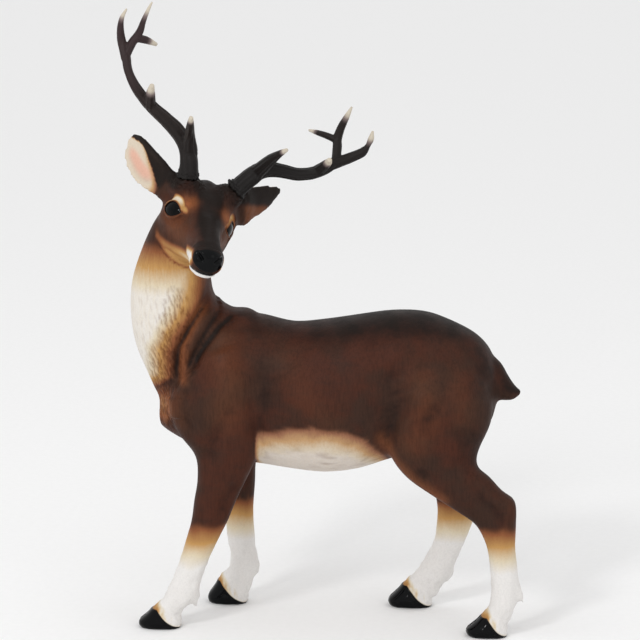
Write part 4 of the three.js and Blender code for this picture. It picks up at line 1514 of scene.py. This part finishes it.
def cast_antler(name, shape, sizes, paints):
    """Fuses an antler's beam, burr and tines, furrows it and paints it."""
    branches = [shape["beam"], *shape["tines"]]
    forms = [tube(branch_rings(shape["beam"]), BEAM_SIDES, BRANCH_STEPS)]
    forms += [tube(burr_rings(shape["beam"]), BEAM_SIDES)]
    forms += [tube(branch_rings(tine), TINE_SIDES, BRANCH_STEPS) for tine in shape["tines"]]
    mesh = fused([in_head(form) for form in forms], sizes.antler_spacing)
    web = Web(mesh)
    put(mesh, web.relaxed(places(mesh), np.ones(web.count), ANTLER_ROUNDS))
    points, facing = places(mesh), normals(mesh)
    head = head_places(points)
    furrow, gap = furrowed(head, branches)
    furrow = np.clip(furrow + waviness(points, FURROW_WAVE), -1, 1) * smoothstep(1.5, 5, gap)
    beam = np.array([p[:3] for p in shape["beam"]], float)
    climb = (head - beam[0]) @ ((beam[1] - beam[0]) / np.linalg.norm(beam[1] - beam[0]))
    root = smoothstep(7, 2.5, climb) * smoothstep(16, 13, np.linalg.norm(head - beam[0], axis=1))
    rows = np.flatnonzero(root > 0.01)
    pearls = root * np.abs(waviness(points, PEARL_GRAIN, rows)) * 2
    relief = FURROW_DEPTH * furrow + PEARL_HEIGHT * pearls - 0.2 * root
    put(mesh, points + facing * relief[:, None])
    ivory = np.zeros(len(points))
    for tine, reach in zip(shape["tines"], TIP_REACHES[name]):
        gap = np.linalg.norm(head - np.array(tine[-1][:3]), axis=1)
        ivory = np.maximum(ivory, smoothstep(reach * 1.5, reach * 0.35, gap))
    set_attribute(mesh, "ivory", ivory)
    set_attribute(mesh, "furrow", np.clip(-furrow, 0, 1) * 0.5 * (1 - ivory))
    return settle(mesh, name + "_skin", name, antler_paint(paints))


# Lamps: place, and side of the square in metres. Their powers are settings
LAMPS = {
    "key": ((-0.9, -1.7, 1.5), 0.36),
    "fill": ((1.6, -1.3, 0.9), 1.2),
    "spark": ((-0.55, -1.9, 0.85), 0.07),
}
LAMP_TARGET = Vector((0, 0, 0.22))
FAR_CLIP = 20


def add_lamp(name, place, size, power):
    """A square lamp turned towards the figurine."""
    data = bpy.data.lights.new(name, "AREA")
    data.energy = power
    data.size = size
    lamp = bpy.data.objects.new(name, data)
    bpy.context.scene.collection.objects.link(lamp)
    lamp.location = place
    lamp.rotation_mode = "QUATERNION"
    lamp.rotation_quaternion = (Vector(place) - LAMP_TARGET).to_track_quat("Z", "Y")


def build_stage(studio, paints):
    """Lays the floor, sets the room's light, the lamps and the camera."""
    bpy.ops.mesh.primitive_plane_add(size=studio.floor_width, location=(0, 0, 0))
    floor = bpy.context.object
    floor.name = "floor"
    floor.data.materials.append(floor_paint(paints))
    scene = bpy.context.scene
    scene.world = bpy.data.worlds.new("Studio")
    scene.world.use_nodes = True
    room = scene.world.node_tree.nodes["Background"]
    room.inputs["Color"].default_value = (1, 1, 1, 1)
    room.inputs["Strength"].default_value = studio.room_light
    for name, (place, size) in LAMPS.items():
        add_lamp(name, place, size, getattr(studio, name + "_power"))
    scene.view_settings.view_transform = "Standard"
    camera_data = bpy.data.cameras.new("view")
    camera = bpy.data.objects.new("view", camera_data)
    scene.collection.objects.link(camera)
    azimuth, elevation = studio.azimuth, studio.elevation
    back = Vector((
        math.sin(azimuth) * math.cos(elevation), -math.cos(azimuth) * math.cos(elevation),
        math.sin(elevation),
    ))
    camera.rotation_mode = "QUATERNION"
    camera.location = Vector(studio.aim) + back * studio.distance
    camera.rotation_quaternion = back.to_track_quat("Z", "Y")
    camera_data.angle = 2 * math.atan(studio.half_width / studio.distance)
    camera_data.clip_end = FAR_CLIP
    scene.camera = camera


def colour(name, description, code):
    """A paint that the user may change."""
    return FloatVectorProperty(name=name, description=description, default=paint(code), size=3,
                               subtype="COLOR", min=0, max=1)


class FigurineSizes(bpy.types.PropertyGroup):
    skin_spacing: FloatProperty(
        name="Skin spacing", description="Distance between the vertices of the cast skin, in mm",
        default=1.85, min=1, max=4)
    share_kept: FloatProperty(
        name="Share kept", description="Share of the faces kept when the plain flanks are thinned out",
        default=0.55, min=0.2, max=1, subtype="FACTOR")
    antler_spacing: FloatProperty(
        name="Antler spacing", description="Distance between the vertices of an antler, in mm",
        default=0.62, min=0.4, max=2)


class FigurinePaints(bpy.types.PropertyGroup):
    coat: colour("Coat", "Brown of the flanks", "38241b")
    russet: colour("Russet", "Warm patches in the coat", "452418")
    umber: colour("Umber", "Dark patches in the coat", "30211b")
    # Rust also colours the painted light on the flank's swellings
    rust: colour("Rust", "Orange brown of the brows and of the thigh's edge", "8c5230")
    # Shade and dusk also colour the painted shade in the coat's hollows and grooves
    shade: colour("Shade", "Warm dark brown where the airbrushed dark is thin", "1d0f0b")
    dusk: colour("Dusk", "Near-black shading of the back, crown and ears", "18120f")
    tan: colour("Tan", "Darkest tone where brown turns to cream", "865233")
    gold: colour("Gold", "Golden tone between tan and cream", "b98e56")
    cream: colour("Cream", "Cream of the lids and of the bib's edge", "d6c8ae")
    white: colour("White", "White of the bib and the socks", "e2dfdc")
    belly: colour("Belly", "Pinkish cream of the belly", "c9b7ab")
    pink: colour("Pink", "Inside of the ears", "dfa893")
    hair_wash: colour("Hair wash", "Brown wash that lies in the carved hair", "8a6040")
    gloss_black: colour("Gloss black", "Lacquer of hooves, nose and eyes", "050607")
    iris: colour("Iris", "Faint brown in the eyes", "1c110c")
    horn_root: colour("Horn root", "Near-black brown at the root of the antlers", "171413")
    horn: colour("Horn", "Brown of the beams", "241c19")
    plum: colour("Plum", "Purplish brown of the upper antlers", "382a2b")
    plum_light: colour("Light plum", "Tone between the plum and the ivory", "8b7b78")
    ivory: colour("Ivory", "Tips of the antlers", "c9bfae")
    paper: colour("Paper", "Studio floor", "f6f6f6")


class StudioSettings(bpy.types.PropertyGroup):
    azimuth: FloatProperty(
        name="Azimuth", description="Angle of the camera round the figurine", default=math.radians(5),
        subtype="ANGLE")
    elevation: FloatProperty(
        name="Elevation", description="Angle of the camera over the floor", default=math.radians(11),
        subtype="ANGLE")
    distance: FloatProperty(
        name="Distance", description="Camera to the middle of the picture", default=2.2, unit="LENGTH")
    half_width: FloatProperty(
        name="Half width", description="Half of the width that the picture takes in", default=0.24,
        unit="LENGTH")
    aim: FloatVectorProperty(
        name="Aim", description="Middle of the picture", default=(-0.0042, 0.022, 0.231),
        subtype="TRANSLATION", unit="LENGTH")
    floor_width: FloatProperty(
        name="Floor width", description="Side of the floor", default=12, unit="LENGTH")
    room_light: FloatProperty(
        name="Room light", description="Strength of the light all round", default=0.9)
    key_power: FloatProperty(
        name="Key power", description="Main lamp, at the upper left, in watts", default=11.8, min=0)
    spark_power: FloatProperty(
        name="Spark power", description="Small lamp that lights up the gloss, in watts", default=2, min=0)
    fill_power: FloatProperty(
        name="Fill power", description="Soft lamp at the right, in watts", default=2.5, min=0)


class STAG_OT_cast_body(bpy.types.Operator):
    """Cast, carve and paint the stag's body"""
    bl_idname = "stag.cast_body"
    bl_label = "Cast Body"

    def execute(self, context):
        cast_body(context.scene.figurine_sizes, context.scene.figurine_paints)
        return {"FINISHED"}


class STAG_OT_cast_eyes(bpy.types.Operator):
    """Set the two lacquered eyes under their lids"""
    bl_idname = "stag.cast_eyes"
    bl_label = "Set Eyes"

    def execute(self, context):
        cast_eyes(context.scene.figurine_paints)
        return {"FINISHED"}


class STAG_OT_cast_antlers(bpy.types.Operator):
    """Cast and paint both antlers"""
    bl_idname = "stag.cast_antlers"
    bl_label = "Cast Antlers"

    def execute(self, context):
        for name, shape in (("antler_left", ANTLER_LEFT), ("antler_right", ANTLER_RIGHT)):
            cast_antler(name, shape, context.scene.figurine_sizes, context.scene.figurine_paints)
        return {"FINISHED"}


class STAG_OT_build_studio(bpy.types.Operator):
    """Lay the pale floor and set the lamps and the camera"""
    bl_idname = "stag.build_studio"
    bl_label = "Build Studio"

    def execute(self, context):
        build_stage(context.scene.studio_settings, context.scene.figurine_paints)
        return {"FINISHED"}


STEPS = (STAG_OT_cast_body, STAG_OT_cast_eyes, STAG_OT_cast_antlers, STAG_OT_build_studio)


class STAG_PT_figurine(bpy.types.Panel):
    """Lists the steps that make the figurine, with its sizes and paints"""
    bl_idname = "STAG_PT_figurine"
    bl_label = "Deer Figurine"
    bl_space_type = "VIEW_3D"
    bl_region_type = "UI"
    bl_category = "Stag"

    def draw(self, context):
        scene = context.scene
        for step in STEPS:
            self.layout.operator(step.bl_idname)
        for group in (scene.figurine_sizes, scene.figurine_paints, scene.studio_settings):
            box = self.layout.box()
            for name in group.__annotations__:
                box.prop(group, name)


GROUPS = {
    "figurine_sizes": FigurineSizes, "figurine_paints": FigurinePaints, "studio_settings": StudioSettings,
}


def register():
    """Adds the settings, the steps and the panel."""
    for made in (*GROUPS.values(), *STEPS, STAG_PT_figurine):
        bpy.utils.register_class(made)
    for name, group in GROUPS.items():
        setattr(bpy.types.Scene, name, PointerProperty(type=group))


def unregister():
    """Takes the settings, the steps and the panel away again."""
    for name in GROUPS:
        delattr(bpy.types.Scene, name)
    for made in (STAG_PT_figurine, *reversed(STEPS), *GROUPS.values()):
        bpy.utils.unregister_class(made)


def main():
    """Builds the figurine and the studio."""
    register()
    bpy.ops.stag.cast_body()
    bpy.ops.stag.cast_eyes()
    bpy.ops.stag.cast_antlers()
    bpy.ops.stag.build_studio()


if __name__ == "__main__":
    main()
